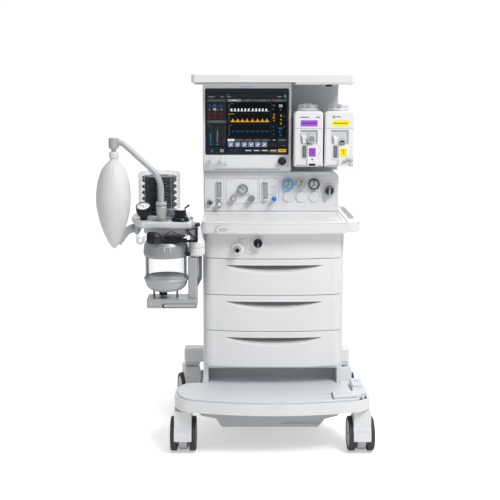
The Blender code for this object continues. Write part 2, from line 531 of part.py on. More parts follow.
apl = turned("apl_knob", [(0, 898), (19, 898), (20.5, 896), (21.8, 872), (21, 866.5), (0, 866.5)], (-334, 60, 0))
add(apl, tube("apl_lever", [(-334, 60, 889), (-304, 47, 907)], 3.4, 2))
finish(apl, "black_plastic", (-334, 60, 866.5))

ports = tube("patient_ports", smooth_route([(-491, 120, 812), (-530, 112, 806), (-566, 104, 758)], 26, 3), 11.5, 2)
add(ports, tube("port_rear", smooth_route([(-491, 172, 812), (-532, 176, 808), (-566, 184, 764)], 26, 3), 11.5, 2),
    box("port_body", -505, -488.5, 100, 192, 792, 829, r=4))
cut(ports, tube("port_bore", [(-560, 105.8, 766.6), (-572, 101, 748)], 8.5), tube("port_bore_rear", [(-561, 182.9, 771), (-571, 185, 756)], 8.5))
finish(ports, "grey_plastic")

sensor = turned("oxygen_sensor", [(0, -25), (18, -25), (22, -21), (22, 2), (19, 4), (19, 24), (15, 27), (0, 27)], (-422, -30, 803), (1, 0, 0))
add(sensor, drum("sensor_neck", 10, 0, 44, (-418, -30, 803), (0, 1, 0)))
finish(sensor, "black_plastic")

cable = bpy.data.curves.new("sensor_cable", "CURVE")
cable.dimensions = "3D"
cable.bevel_depth = CABLE_D * 0.0005
cable.bevel_resolution = 2
cable.use_fill_caps = True
line = cable.splines.new("POLY")
line.points.add(len(CABLE) - 1)
for node, point in zip(line.points, CABLE):
    node.co = (*(c * 0.001 for c in point), 1.0)
cable_obj = bpy.data.objects.new("sensor_cable", cable)
machine.objects.link(cable_obj)
cable.materials.append(MATERIALS["black_plastic"])

# ------------------------------------------------------- absorbent canister
CX, CY = CAN_AXIS
head = turned("canister_head", [(0, 789.6), (18, 789.6), (18, 781), (66, 781), (73, 779), (79, 766), (CAN_R, 742), (CAN_R, 728), (79, 722.5), (0, 722.5)], (CX, CY, 0), steps=28)
cut(head, drum("head_hollow", 74, 715, 735, (CX, CY, 0), steps=28))
finish(head, "satin_metal")
DROP = 10.0
glass = turned("canister_glass", [(77.5, 722), (77.5, 646.5), (74.5, 646.5), (74.5, 722)], (CX, CY, 0), steps=28)
finish(glass, "clear_plastic")
cup = turned("canister_cup", [(74, 646), (80, 646), (81.5, 640), (80, 634), (77, 630), (72, 612), (60, 600), (52, 597), (0, 597), (0, 603), (50, 604), (66, 614), (72, 632)], (CX, CY, 0), steps=28)
add(cup, drum("lift_screw", 15, 580, 600, (-397, 40, 0)), drum("guide_left", 4, 562, 603, (-430, 40, 0), steps=12), drum("guide_right", 4, 562, 603, (-346, 40, 0), steps=12))
finish(cup, "satin_metal", (CX, CY, 597))
bracket = box("canister_bracket", -455, -273, 4, 92, 538, 572, r=5)
add(bracket, box("bracket_post", -305.5, -273, 22, 92, 560, 722, r=5), box("bracket_back", -300, -268, 60, 92, 640, 725))
cut(bracket,
    drum("screw_well", 16, 566, 590, (-397, 40, 0)), drum("guide_well_left", 4.6, 548, 580, (-430, 40, 0), steps=12), drum("guide_well_right", 4.6, 548, 580, (-346, 40, 0), steps=12),
    turned("cup_way", [(0, 730), (86, 730), (86, 590), (0, 590)], (CX, CY, 0), steps=40),
    box("handle_way", -398, -268, -5, 20, 540, 557))
finish(bracket, "satin_metal")
lever = box("canister_handle", -394, -278, 5, 17, 541, 556, r=4)
finish(lever, "satin_metal", (-386, 11, 548))

for obj in list(machine.objects) + list(cutters.objects):
    obj.location += Vector(OFFSET_MM) * 0.001
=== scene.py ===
import math

import bmesh
import bpy
from mathutils import Matrix, Vector, noise


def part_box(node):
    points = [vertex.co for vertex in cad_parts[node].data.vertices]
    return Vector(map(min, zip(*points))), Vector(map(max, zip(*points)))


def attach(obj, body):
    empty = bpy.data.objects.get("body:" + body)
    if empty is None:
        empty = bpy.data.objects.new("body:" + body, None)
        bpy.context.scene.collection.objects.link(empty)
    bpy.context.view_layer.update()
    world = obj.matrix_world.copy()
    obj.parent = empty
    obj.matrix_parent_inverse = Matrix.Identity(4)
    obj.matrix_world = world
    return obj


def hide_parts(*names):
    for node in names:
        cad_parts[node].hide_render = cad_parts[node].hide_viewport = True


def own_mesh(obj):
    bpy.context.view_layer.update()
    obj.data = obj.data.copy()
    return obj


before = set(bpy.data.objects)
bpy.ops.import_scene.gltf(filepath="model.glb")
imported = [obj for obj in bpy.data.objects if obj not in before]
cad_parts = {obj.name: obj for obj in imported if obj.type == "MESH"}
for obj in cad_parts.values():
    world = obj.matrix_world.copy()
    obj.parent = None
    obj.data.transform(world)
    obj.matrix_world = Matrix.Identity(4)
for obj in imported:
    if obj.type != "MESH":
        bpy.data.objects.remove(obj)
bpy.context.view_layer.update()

# Everything below is in millimetres in the machine's working frame; the packed
# frame says where that frame lies.
_lo, _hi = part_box("display_screen")
OX = _lo[0] * 1000 + 253.0
OY = _lo[1] * 1000 - 267.0
OFF = Vector((OX, OY, 0.0))
RAD = math.radians


def W(p):
    """Working-frame millimetres to scene metres."""
    return (Vector(p) + OFF) * 0.001


# ------------------------------------------------------------------ materials
MATS = {}


def _nodes(name):
    mat = bpy.data.materials.new(name)
    mat.use_nodes = True
    tree = mat.node_tree
    bsdf = tree.nodes["Principled BSDF"]
    MATS[name] = mat
    return mat, tree, bsdf


def _coords(tree, scale=(1, 1, 1)):
    tc = tree.nodes.new("ShaderNodeTexCoord")
    mp = tree.nodes.new("ShaderNodeMapping")
    mp.inputs["Scale"].default_value = scale
    tree.links.new(tc.outputs["Object"], mp.inputs["Vector"])
    return mp.outputs["Vector"]


def _noise(tree, vec, scale, detail=3.0, rough=0.55):
    n = tree.nodes.new("ShaderNodeTexNoise")
    n.inputs["Scale"].default_value = scale
    n.inputs["Detail"].default_value = detail
    n.inputs["Roughness"].default_value = rough
    tree.links.new(vec, n.inputs["Vector"])
    return n.outputs["Fac"]


def _range(tree, val, a, b, c, d):
    m = tree.nodes.new("ShaderNodeMapRange")
    m.inputs["From Min"].default_value = a
    m.inputs["From Max"].default_value = b
    m.inputs["To Min"].default_value = c
    m.inputs["To Max"].default_value = d
    tree.links.new(val, m.inputs["Value"])
    return m.outputs["Result"]


def _mix(tree, fac, c1, c2):
    m = tree.nodes.new("ShaderNodeMix")
    m.data_type = "RGBA"
    tree.links.new(fac, m.inputs["Factor"])
    m.inputs["A"].default_value = (*c1, 1)
    m.inputs["B"].default_value = (*c2, 1)
    return m.outputs["Result"]


def _bump(tree, height, bsdf, strength, distance, chain=None):
    b = tree.nodes.new("ShaderNodeBump")
    b.inputs["Strength"].default_value = strength
    b.inputs["Distance"].default_value = distance
    tree.links.new(height, b.inputs["Height"])
    if chain is not None:
        tree.links.new(chain, b.inputs["Normal"])
    tree.links.new(b.outputs["Normal"], bsdf.inputs["Normal"])
    return b.outputs["Normal"]


def moulded(name, rgb, rough=0.42, grain=0.12, grain_scale=1400.0, tone=0.025, coat=0.0, metal=0.0, spec=0.5, vary=0.06):
    """Moulded plastic or powder coat: fine spark grain, faint tone drift, gloss that varies a little."""
    mat, tree, bsdf = _nodes(name)
    vec = _coords(tree)
    drift = _noise(tree, vec, 3.2, 4.0)
    fac = _range(tree, drift, 0.3, 0.7, 0.0, 1.0)
    dark = tuple(max(0.0, c * (1 - tone)) for c in rgb)
    light = tuple(min(1.0, c * (1 + tone)) for c in rgb)
    tree.links.new(_mix(tree, fac, dark, light), bsdf.inputs["Base Color"])
    smear = _noise(tree, vec, 14.0, 5.0, 0.6)
    tree.links.new(_range(tree, smear, 0.25, 0.75, rough - vary, rough + vary), bsdf.inputs["Roughness"])
    first = _bump(tree, _noise(tree, vec, grain_scale, 2.0), bsdf, grain, 0.00012)
    _bump(tree, _noise(tree, vec, 9.0, 2.0), bsdf, 0.035, 0.002, first)
    bsdf.inputs["Metallic"].default_value = metal
    bsdf.inputs["Specular IOR Level"].default_value = spec
    if coat:
        bsdf.inputs["Coat Weight"].default_value = coat
        bsdf.inputs["Coat Roughness"].default_value = 0.12
    return mat


def metal(name, rgb, rough=0.3, along=(1, 1, 60), depth=0.05, tone=0.06, scale=60.0):
    """Cast or brushed metal: directional scratches and soft stains in the gloss."""
    mat, tree, bsdf = _nodes(name)
    vec = _coords(tree)
    brush = _noise(tree, _coords(tree, along), scale, 3.0)
    stain = _noise(tree, vec, 22.0, 4.0)
    fac = _range(tree, stain, 0.3, 0.7, 0.0, 1.0)
    tree.links.new(_mix(tree, fac, tuple(c * (1 - tone) for c in rgb), tuple(min(1, c * (1 + tone)) for c in rgb)), bsdf.inputs["Base Color"])
    tree.links.new(_range(tree, brush, 0.3, 0.7, rough - 0.07, rough + 0.09), bsdf.inputs["Roughness"])
    _bump(tree, brush, bsdf, depth, 0.0002)
    bsdf.inputs["Metallic"].default_value = 1.0
    return mat


def clear(name, rgb, low=0.1, high=0.6, rough=0.05, ior=1.49):
    """Thin clear plastic: more visible where it is seen edge on."""
    mat, tree, bsdf = _nodes(name)
    lw = tree.nodes.new("ShaderNodeLayerWeight")
    lw.inputs["Blend"].default_value = 0.35
    vec = _coords(tree)
    haze = _noise(tree, vec, 30.0, 4.0)
    tree.links.new(_range(tree, lw.outputs["Facing"], 0.0, 1.0, low, high), bsdf.inputs["Alpha"])
    tree.links.new(_range(tree, haze, 0.3, 0.7, rough, rough + 0.05), bsdf.inputs["Roughness"])
    fac = _range(tree, haze, 0.3, 0.7, 0.0, 1.0)
    tree.links.new(_mix(tree, fac, tuple(c * 0.97 for c in rgb), rgb), bsdf.inputs["Base Color"])
    bsdf.inputs["Specular IOR Level"].default_value = 0.9
    bsdf.inputs["IOR"].default_value = ior
    return mat


def glow(name, rgb, strength=1.0):
    """A lit patch of the screen or a lamp, with the fine dot grid of a display."""
    mat, tree, bsdf = _nodes(name)
    vec = _coords(tree, (1, 0, 1))
    dots = _noise(tree, vec, 2600.0, 1.0)
    fac = _range(tree, dots, 0.3, 0.7, 0.0, 1.0)
    col = _mix(tree, fac, tuple(c * 0.9 for c in rgb), rgb)
    dim_ = _mix(tree, fac, tuple(c * 0.10 for c in rgb), tuple(c * 0.14 for c in rgb))
    tree.links.new(dim_, bsdf.inputs["Base Color"])
    tree.links.new(col, bsdf.inputs["Emission Color"])
    bsdf.inputs["Specular IOR Level"].default_value = 0.15
    bsdf.inputs["Emission Strength"].default_value = strength
    bsdf.inputs["Roughness"].default_value = 0.25
    return mat


WHITE = (0.80, 0.805, 0.81)
moulded("white", WHITE, 0.40, coat=0.12)
moulded("white_steel", (0.79, 0.795, 0.80), 0.38, grain=0.2, grain_scale=500)
moulded("warm_white", (0.79, 0.79, 0.785), 0.36, coat=0.1)
moulded("panel_grey", (0.68, 0.695, 0.71), 0.45)
moulded("mid_grey", (0.42, 0.43, 0.45), 0.42)
moulded("light_grey", (0.62, 0.64, 0.66), 0.4)
moulded("beam_grey", (0.52, 0.54, 0.56), 0.42)
moulded("mat_blue_grey", (0.70, 0.735, 0.77), 0.5, grain=0.35, grain_scale=420)
# A darkened copy of the mat blue grey that stands in for the shade under the drawers: painted shade. Nothing below uses
# it.
moulded("kick_painted_shade_grey", (0.27, 0.30, 0.34), 0.55, grain=0.3, grain_scale=420)
moulded("pan_grey", (0.46, 0.47, 0.48), 0.42, metal=0.15)
moulded("black", (0.014, 0.015, 0.018), 0.36, grain=0.2)
moulded("navy", (0.007, 0.012, 0.026), 0.34, grain=0.15, spec=0.3)
# Near black for the strip set inside the monitor slot: painted shadow.
moulded("slot_painted_shadow", (0.035, 0.037, 0.042), 0.6)
moulded("grey_line", (0.33, 0.34, 0.36), 0.5)
moulded("blue", (0.03, 0.16, 0.52), 0.32, coat=0.3)
moulded("tyre", (0.042, 0.046, 0.05), 0.62, grain=0.5, grain_scale=300, tone=0.12)
moulded("hub", (0.72, 0.73, 0.74), 0.38)
moulded("roller", (0.5, 0.51, 0.53), 0.36, metal=0.3)
moulded("block_grey", (0.60, 0.615, 0.63), 0.34, coat=0.15)
moulded("bellows", (0.005, 0.008, 0.017), 0.62, grain=0.1, grain_scale=500, tone=0.15, spec=0.15)
moulded("purple", (0.30, 0.07, 0.62), 0.35)
moulded("yellow", (0.90, 0.78, 0.02), 0.35)
moulded("orange", (0.90, 0.34, 0.02), 0.4)
moulded("green", (0.08, 0.40, 0.06), 0.4)
moulded("red", (0.7, 0.04, 0.03), 0.4)
moulded("dial_white", (0.88, 0.88, 0.87), 0.35, tone=0.01)
moulded("screen_black", (0.004, 0.005, 0.008), 0.14, grain=0.02, tone=0.1, coat=0.05, vary=0.02, spec=0.25)
moulded("bezel_navy", (0.018, 0.028, 0.040), 0.18, grain=0.02, coat=0.05, vary=0.03, spec=0.3)
moulded("gasket", (0.02, 0.021, 0.024), 0.5)
metal("satin_metal", (0.56, 0.57, 0.58), 0.33)
metal("cast_metal", (0.50, 0.51, 0.53), 0.36, along=(1, 1, 1), depth=0.12, scale=240)
metal("chrome", (0.80, 0.81, 0.82), 0.10, tone=0.02)
metal("steel", (0.60, 0.61, 0.62), 0.28)
clear("clear", (0.86, 0.90, 0.93), 0.08, 0.62)
clear("dome_clear", (0.42, 0.47, 0.51), 0.015, 0.40, 0.03)
clear("clear_tube", (0.80, 0.86, 0.90), 0.25, 0.8)
clear("clear_dark", (0.28, 0.32, 0.36), 0.45, 0.85)
clear("lens", (0.92, 0.95, 0.97), 0.05, 0.4, 0.02)


# -------------------------------------------------------------------- helpers
def _keep(bm, name, recalc=True):
    bmesh.ops.remove_doubles(bm, verts=bm.verts, dist=1e-6)
    if recalc:
        bmesh.ops.recalc_face_normals(bm, faces=bm.faces)
    mesh = bpy.data.meshes.new(name)
    bm.to_mesh(mesh)
    bm.free()
    obj = bpy.data.objects.new(name, mesh)
    bpy.context.scene.collection.objects.link(obj)
    return obj


def mod_bevel(obj, width, seg=3, angle=32):
    m = obj.modifiers.new("edge", "BEVEL")
    m.width = width * 0.001
    m.segments = seg
    m.limit_method = "ANGLE"
    m.angle_limit = RAD(angle)
    return obj


def bake(obj):
    bpy.context.view_layer.update()
    mesh = bpy.data.meshes.new_from_object(obj.evaluated_get(bpy.context.evaluated_depsgraph_get()))
    obj.modifiers.clear()
    old = obj.data
    obj.data = mesh
    if old.users == 0:
        bpy.data.meshes.remove(old)
    return obj


def combine(obj, others, how):
    for other in others:
        if other.modifiers:
            bake(other)
        m = obj.modifiers.new("op", "BOOLEAN")
        m.operation = how
        m.solver = "EXACT"
        m.object = other
    bake(obj)
    for other in others:
        bpy.data.objects.remove(other, do_unlink=True)
    return obj


def cut(obj, *others):
    return combine(obj, others, "DIFFERENCE")


def add(obj, *others):
    return combine(obj, others, "UNION")


def join(name, objs):
    """Several islands as one mesh, with their own materials kept."""
    bm = bmesh.new()
    mats = []
    for o in objs:
        if o.modifiers:
            bake(o)
        base = len(bm.faces)
        bm.from_mesh(o.data)
        bm.faces.ensure_lookup_table()
        own = [m for m in o.data.materials]
        for f in bm.faces[base:]:
            mat = own[f.material_index] if own else None
            if mat is not None:
                if mat not in mats:
                    mats.append(mat)
                f.material_index = mats.index(mat)
        bpy.data.objects.remove(o, do_unlink=True)
    mesh = bpy.data.meshes.new(name)
    bm.to_mesh(mesh)
    bm.free()
    for m in mats:
        mesh.materials.append(m)
    obj = bpy.data.objects.new(name, mesh)
    bpy.context.scene.collection.objects.link(obj)
    return obj


def paint(obj, mat):
    obj.data.materials.clear()
    obj.data.materials.append(MATS[mat])
    return obj


def put(obj, body, mat=None, replaces=(), smooth=34, weighted=True):
    """Finish a piece: material, shading and the body it rides on."""
    if obj.modifiers:
        bake(obj)
    if mat:
        paint(obj, mat)
    me = obj.data
    if obj.type == "MESH":
        me.polygons.foreach_set("use_smooth", [True] * len(me.polygons))
        me.set_sharp_from_angle(angle=RAD(smooth))
        if weighted:
            m = obj.modifiers.new("normals", "WEIGHTED_NORMAL")
            m.keep_sharp = True
            m.weight = 60
    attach(obj, body)
    if replaces:
        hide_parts(*([replaces] if isinstance(replaces, str) else replaces))
    return obj


def box(name, x0, x1, y0, y1, z0, z1, r=0.0, seg=3):
    bm = bmesh.new()
    bmesh.ops.create_cube(bm, size=1.0)
    size = Vector((x1 - x0, y1 - y0, z1 - z0)) * 0.001
    mid = W(((x0 + x1) / 2, (y0 + y1) / 2, (z0 + z1) / 2))
    bmesh.ops.transform(bm, matrix=Matrix.Translation(mid) @ Matrix.Diagonal((*size, 1.0)), verts=bm.verts)
    obj = _keep(bm, name)
    if r:
        mod_bevel(obj, r, seg)
    return obj


def prism(name, outline, low, high, axis="Z", r=0.0, seg=3, angle=32):
    order = {"Z": (0, 1, 2), "Y": (0, 2, 1), "X": (1, 2, 0)}[axis]
    bm = bmesh.new()
    ring = []
    for a, b in outline:
        p = [0.0, 0.0, 0.0]
        p[order[0]], p[order[1]], p[order[2]] = a, b, low
        ring.append(bm.verts.new(W(p)))
    face = bm.faces.new(ring)
    moved = bmesh.ops.extrude_face_region(bm, geom=[face])
    shift = [0.0, 0.0, 0.0]
    shift[order[2]] = (high - low) * 0.001
    bmesh.ops.translate(bm, vec=shift, verts=[v for v in moved["geom"] if isinstance(v, bmesh.types.BMVert)])
    obj = _keep(bm, name)
    if r:
        mod_bevel(obj, r, seg, angle)
    return obj


def turned(name, profile, at=(0, 0, 0), axis=(0, 0, 1), steps=64, scale=(1, 1, 1), spin=0.0):
    """A solid of revolution about an axis through a working-frame point."""
    bm = bmesh.new()
    verts = [bm.verts.new((r * 0.001, 0.0, h * 0.001)) for r, h in profile]
    edges = [bm.edges.new((verts[i], verts[i + 1])) for i in range(len(verts) - 1)]
    if profile[0][0] > 0.01 or profile[-1][0] > 0.01:
        edges.append(bm.edges.new((verts[-1], verts[0])))
    bmesh.ops.spin(bm, geom=verts + edges, cent=(0, 0, 0), axis=(0, 0, 1), angle=2 * math.pi, steps=steps, use_merge=True)
    turn = Vector((0, 0, 1)).rotation_difference(Vector(axis).normalized()).to_matrix().to_4x4()
    bmesh.ops.transform(bm, matrix=Matrix.Translation(W(at)) @ turn @ Matrix.Rotation(RAD(spin), 4, "Z") @ Matrix.Diagonal((*scale, 1.0)), verts=bm.verts)
    return _keep(bm, name)


def drum(name, r, low, high, at=(0, 0, 0), axis=(0, 0, 1), edge=0.0, steps=64):
    if edge:
        e = edge * 0.3
        profile = [(0, high), (r - edge, high), (r - e, high - e), (r, high - edge), (r, low + edge), (r - e, low + e), (r - edge, low), (0, low)]
    else:
        profile = [(0, high), (r, high), (r, low), (0, low)]
    return turned(name, profile, at, axis, steps)


def ring(name, r_in, r_out, low, high, at=(0, 0, 0), axis=(0, 0, 1), edge=0.4, steps=64):
    e = edge
    return turned(name, [(r_in, high - e), (r_in + e, high), (r_out - e, high), (r_out, high - e), (r_out, low), (r_in, low)], at, axis, steps)


def round_profile(points, r=1.5, seg=4):
    """Ease the corners of an open profile."""
    out = [points[0]]
    for a, b, c in zip(points, points[1:], points[2:]):
        a, b, c = Vector(a), Vector(b), Vector(c)
        u, w = (a - b), (c - b)
        if u.length < 1e-6 or w.length < 1e-6:
            out.append(tuple(b))
            continue
        reach = min(r, u.length * 0.45, w.length * 0.45)
        p, q = b + u.normalized() * reach, b + w.normalized() * reach
        for i in range(seg + 1):
            t = i / seg
            v = p * (1 - t) ** 2 + b * 2 * t * (1 - t) + q * t ** 2
            out.append((max(0.0, v[0]), v[1]))
    out.append(points[-1])
    return out


def smooth_route(points, radius, steps=8):
    pts = [Vector(p) for p in points]
    out = [pts[0]]
    for a, b, c in zip(pts, pts[1:], pts[2:]):
        u, w = (a - b).normalized(), (c - b).normalized()
        reach = min(radius, (a - b).length * 0.45, (c - b).length * 0.45)
        for i in range(steps + 1):
            t = i / steps
            out.append((b + u * reach) * (1 - t) ** 2 + b * 2 * t * (1 - t) + (b + w * reach) * t ** 2)
    out.append(pts[-1])
    return [tuple(p) for p in out]


def tube(name, points, r, sides=8, hollow=0.0, closed=False):
    """A round tube swept along a route of working-frame points."""
    pts = [W(p) for p in points]
    bm = bmesh.new()
    n = sides * 4
    rings = []
    up = Vector((0, 0, 1))
    first = (pts[1] - pts[0]).normalized()
    ref = first.orthogonal().normalized()
    count = len(pts)
    for i, p in enumerate(pts):
        if closed:
            t = (pts[(i + 1) % count] - pts[i - 1]).normalized()
        else:
            t = (pts[min(i + 1, count - 1)] - pts[max(i - 1, 0)]).normalized()
        ref = (ref - t * ref.dot(t)).normalized()
        side = t.cross(ref)
        rings.append([bm.verts.new(p + (ref * math.cos(2 * math.pi * k / n) + side * math.sin(2 * math.pi * k / n)) * r * 0.001) for k in range(n)])
    pairs = list(zip(rings, rings[1:])) + ([(rings[-1], rings[0])] if closed else [])
    for a, b in pairs:
        for k in range(n):
            bm.faces.new((a[k], a[(k + 1) % n], b[(k + 1) % n], b[k]))
    if not closed:
        bm.faces.new(rings[0])
        bm.faces.new(rings[-1])
    return _keep(bm, name)


def bowed(x0, x1, y_edge, y_crown, y_back, r=10.0, n=28, power=2.0, rx=0.0):
    mid, half = (x0 + x1) / 2, (x1 - x0) / 2

    def y_at(x):
        return y_crown + (y_edge - y_crown) * abs((x - mid) / half) ** power
    rx = rx or r
    front = [(x0 + rx + (x1 - x0 - 2 * rx) * i / n, y_at(x0 + rx + (x1 - x0 - 2 * rx) * i / n)) for i in range(n + 1)]
    k = 6 if rx == r else 12
    left = [(x0 + rx * (1 - math.cos(math.pi / 2 * i / k)), y_at(x0 + rx) + r * (1 - math.sin(math.pi / 2 * i / k))) for i in range(k)]
    right = [(x1 - rx * (1 - math.cos(math.pi / 2 * i / k)), y_at(x1 - rx) + r * (1 - math.sin(math.pi / 2 * i / k))) for i in range(k)]
    return left + front + list(reversed(right)) + [(x1, y_back), (x0, y_back)]


def oval_pts(cx, cz, hx, hz, n=48):
    return [(cx + hx * math.cos(2 * math.pi * i / n), cz + hz * math.sin(2 * math.pi * i / n)) for i in range(n)]


def rounded_rect(x0, x1, z0, z1, r, n=6):
    pts = []
    for cx, cz, a0 in ((x1 - r, z1 - r, 0), (x0 + r, z1 - r, 90), (x0 + r, z0 + r, 180), (x1 - r, z0 + r, 270)):
        pts += [(cx + r * math.cos(RAD(a0 + 90 * i / n)), cz + r * math.sin(RAD(a0 + 90 * i / n))) for i in range(n + 1)]
    return pts


def screw_head(name, x, y, z, r=3.2, axis=(0, 1, 0), mat="steel"):
    s = turned(name, [(0, 0.6), (r * 0.35, 0.6), (r * 0.4, 1.6), (r * 0.8, 1.5), (r, 0.6), (r, 0), (0, 0)], (x, y, z), axis, 24)
    return paint(s, mat)


def strip(name, pts, width, depth, y):
    """A thin raised line in the XZ plane at station y, standing towards the front."""
    bm = bmesh.new()
    n = len(pts)
    front, back = [], []
    for i in range(n):
        a = Vector(pts[max(i - 1, 0)])
        b = Vector(pts[min(i + 1, n - 1)])
        d = (b - a).normalized()
        nrm = Vector((-d[1], d[0])) * (width / 2)
        p = Vector(pts[i])
        for sgn in (1, -1):
            q = p + nrm * sgn
            front.append(bm.verts.new(W((q[0], y - depth, q[1]))))
            back.append(bm.verts.new(W((q[0], y, q[1]))))
    for i in range(n - 1):
        f0, f1, f2, f3 = front[2 * i], front[2 * i + 1], front[2 * i + 3], front[2 * i + 2]
        b0, b1, b2, b3 = back[2 * i], back[2 * i + 1], back[2 * i + 3], back[2 * i + 2]
        bm.faces.new((f0, f1, f2, f3))
        bm.faces.new((b3, b2, b1, b0))
        bm.faces.new((f0, f3, b3, b0))
        bm.faces.new((f2, f1, b1, b2))
    bm.faces.new((front[0], back[0], back[1], front[1]))
    bm.faces.new((front[-1], back[-1], back[-2], front[-2]))
    return _keep(bm, name)


def fine(name, body, mat=None, slot=None, smooth=40):
    """Keep a CAD node whose shape is right and give it a better material."""
    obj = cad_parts[name]
    obj.data.materials.clear()
    obj.data.materials.append(MATS[mat])
    return obj


# ----------------------------------------------------------------------- base
def base_outline(k=0.0, back=446.0, neck=(-262.0, 271.0), fine_n=6):
    raw = [(x, -99.0 + k + 38.0 * (x / 312.0) ** 2) for x in range(-300, 301, 20)]
    right = [(314 - k * 0.6, -60.0 + k * 0.9), (330 - k, -50 + k * 0.7), (341 - k, -38 + k * 0.5), (348.5 - k, -22 + k * 0.3), (354.5 - k, -4), (357 - k, 16), (357 - k, 38), (354 - k, 60),
             (348 - k, 80 - k * 0.3), (337 - k * 0.9, 99 - k * 0.7), (322 - k * 0.7, 113 - k * 0.9), (304 - k * 0.5, 122 - k)]
    left = [(-x, y) for x, y in reversed(right)]
    rear = [(neck[1] - k, 129 - k), (neck[1] - k, back - k), (neck[0] + k, back - k), (neck[0] + k, 129 - k)]
    return raw + right + rear + left


deck = prism("deck_cover", base_outline(), 174.0, 217.6)
cut(deck, prism("c1", base_outline(5.0), 160, 211.6), box("c2", -240, 249, 400, 460, 160, 211.6))
cut(deck, prism("c3", [(212, -72), (322, -52), (322, -3), (212, -3)], 202.6, 230), box("c4", 288, 340, -40, 106, 202.6, 230))
mod_bevel(deck, 5.5, 5, 50)
put(deck, "machine", "white", "base_cover")

mat_front = [(x, -97.0 + 38.0 * (x / 312.0) ** 2) for x in range(-300, 301, 15)]
mat_pts = mat_front + [(316, -51), (329, -40), (338.5, -26), (344.5, -8), (347, 14), (347, 36), (344, 58), (337, 78), (325, 93), (309, 101.5), (290, 104), (244.8, 104), (244.8, 236), (-235.8, 236), (-235.8, 104), (-290, 104),
                       (-309, 101.5), (-325, 93), (-337, 78), (-344, 58), (-347, 36), (-347, 14), (-344.5, -8), (-338.5, -26), (-329, -40), (-316, -51)]
mat = prism("foot_mat_surface", mat_pts, 218.0, 226.0)
mod_bevel(mat, 2.6, 4, 50)
bake(mat)
cut(mat, prism("m1", [(212.5, -71.5), (321.5, -52.5), (321.5, -37.5), (339, -37.5), (339, 105.5), (288.5, 105.5), (288.5, -3.5), (212.5, -3.5)], 200, 260))
grooves = []
for yy, hx in ((28.6, 218), (-13.1, 226)):
    pts = [(-188 + (hx + 188 - 10) * i / 24.0, yy - 6 + 8.0 * ((i - 12) / 12.0) ** 2) for i in range(25)]
    outline = [(x, y - 1.3) for x, y in pts] + [(x, y + 1.3) for x, y in reversed(pts)]
    grooves.append(prism("g", outline, 225.0, 228.0))
cut(mat, *grooves)
put(mat, "machine", "mat_blue_grey", "foot_mat")
ribs = []
for yy, hx in ((28.6, 218), (-13.1, 226)):
    pts = [(-188 + (hx + 188 - 10) * i / 24.0, yy - 6 + 8.0 * ((i - 12) / 12.0) ** 2) for i in range(25)]
    ribs.append(prism("r", [(x, y - 1.3) for x, y in pts] + [(x, y + 1.3) for x, y in reversed(pts)], 224.6, 225.9))
put(join("foot_mat_inlay", [paint(r, "mid_grey") for r in ribs]), "machine")

# the kick space: one swept cove from the mat up to the underside of the drawers
cove = []
for i in range(13):
    a = RAD(90.0 * i / 12)
    cove.append((176 + 44 * math.sin(a), 226.4 + 44 * (1 - math.cos(a))))
kick = prism("kick_cove", cove + [(221.5, 284.0), (236.0, 284.0), (236.0, 222.0), (176.0, 224.0)], -236.3, 245.8, axis="X")
put(kick, "machine", "mat_blue_grey")
ends = []
for x0, x1 in ((-236.7, -236.0), (245.5, 246.2)):
    ends.append(box("k", x0, x1, 106, 236, 219, 284))
put(join("kick_sides", [paint(e, "light_grey") for e in ends]), "machine")

frame_bar = prism("chassis_front_bar", [(-347, -2), (-332, -32), (332, -32), (347, -2), (347, 50), (338, 78), (-338, 78), (-347, 50)], 180, 206, r=2)
cut(frame_bar, *[drum("b", 10.4, 150, 230, (x, -5, 0)) for x in (-326, 326)])
spine = box("s", -215, 224, 60, 470, 182, 204, r=2)
spine_cut = [box("s%d" % i, -190 + 82 * i, -140 + 82 * i, 120, 400, 170, 198) for i in range(5)]
cut(spine, *spine_cut)
add(frame_bar, spine)
put(frame_bar, "machine", "pan_grey")
beam = box("rear_beam_cover", -349, 341, 464, 526, 187, 246, r=8, seg=6)
cut(beam, box("bs1", -352, 345, 505, 506.2, 244.8, 250))
pods = [box("p", -346, -284, 467, 523, 174, 192, r=4), box("p", 276, 338, 467, 523, 174, 192, r=4)]
for pod, x in zip(pods, (-320, 320)):
    cut(pod, drum("pb", 10.4, 150, 230, (x, 495, 0)))
cut(beam, *[drum("b", 10.4, 150, 212, (x, 495, 0)) for x in (-320, 320)])
paint(beam, "white")
beam_all = join("rear_beam", [beam] + [paint(p, "light_grey") for p in pods])
put(beam_all, "machine", None, "chassis_frame")
caps = []
for x in (-322, -290, 282, 314):
    caps.append(screw_head("rb", x, 526, 206, 4.0, (0, 1, 0)))
for x in (-250, -120, 0, 120, 240):
    caps.append(screw_head("rb", x, 526, 222, 4.0, (0, 1, 0)))
put(join("rear_beam_screws", caps), "machine")

PAN = [(-284, 172), (-258, 146), (-206, 136), (-184, 103.5), (166, 103.5), (190, 134), (236, 146), (258, 172)]
pan = prism("pan_tray", PAN, -24, 412, axis="Y")
cut(pan, prism("pi", [(-278, 176), (-256, 148.4), (-204.6, 138.4), (-182.6, 105.5), (164.8, 105.5), (188.8, 136.2), (234.6, 148.2), (253, 176)], -22, 410, axis="Y"))
mod_bevel(pan, 2.2, 3, 25)
bake(pan)
holes = []
for row, zz in enumerate((116.5, 122.5)):
    for i in range(-1, 16):
        hx = 8 + i * 11.0 + (5.5 if row else 0)
        if row or i > 1:
            holes.append(drum("h", 2.1, -4, 6, (hx if row == 0 else hx + 44, -24, zz), (0, 1, 0), steps=12))
for i in range(9):
    for j in range(4):
        holes.append(box("v", 60 + i * 14, 66 + i * 14, 60 + j * 70, 108 + j * 70, 100, 108))
        holes.append(box("v", -160 + i * 14, -154 + i * 14, 60 + j * 70, 108 + j * 70, 100, 108))
cutter = join("all_holes", holes)
cut(pan, cutter)
put(pan, "machine", "pan_grey", "bottom_pan")

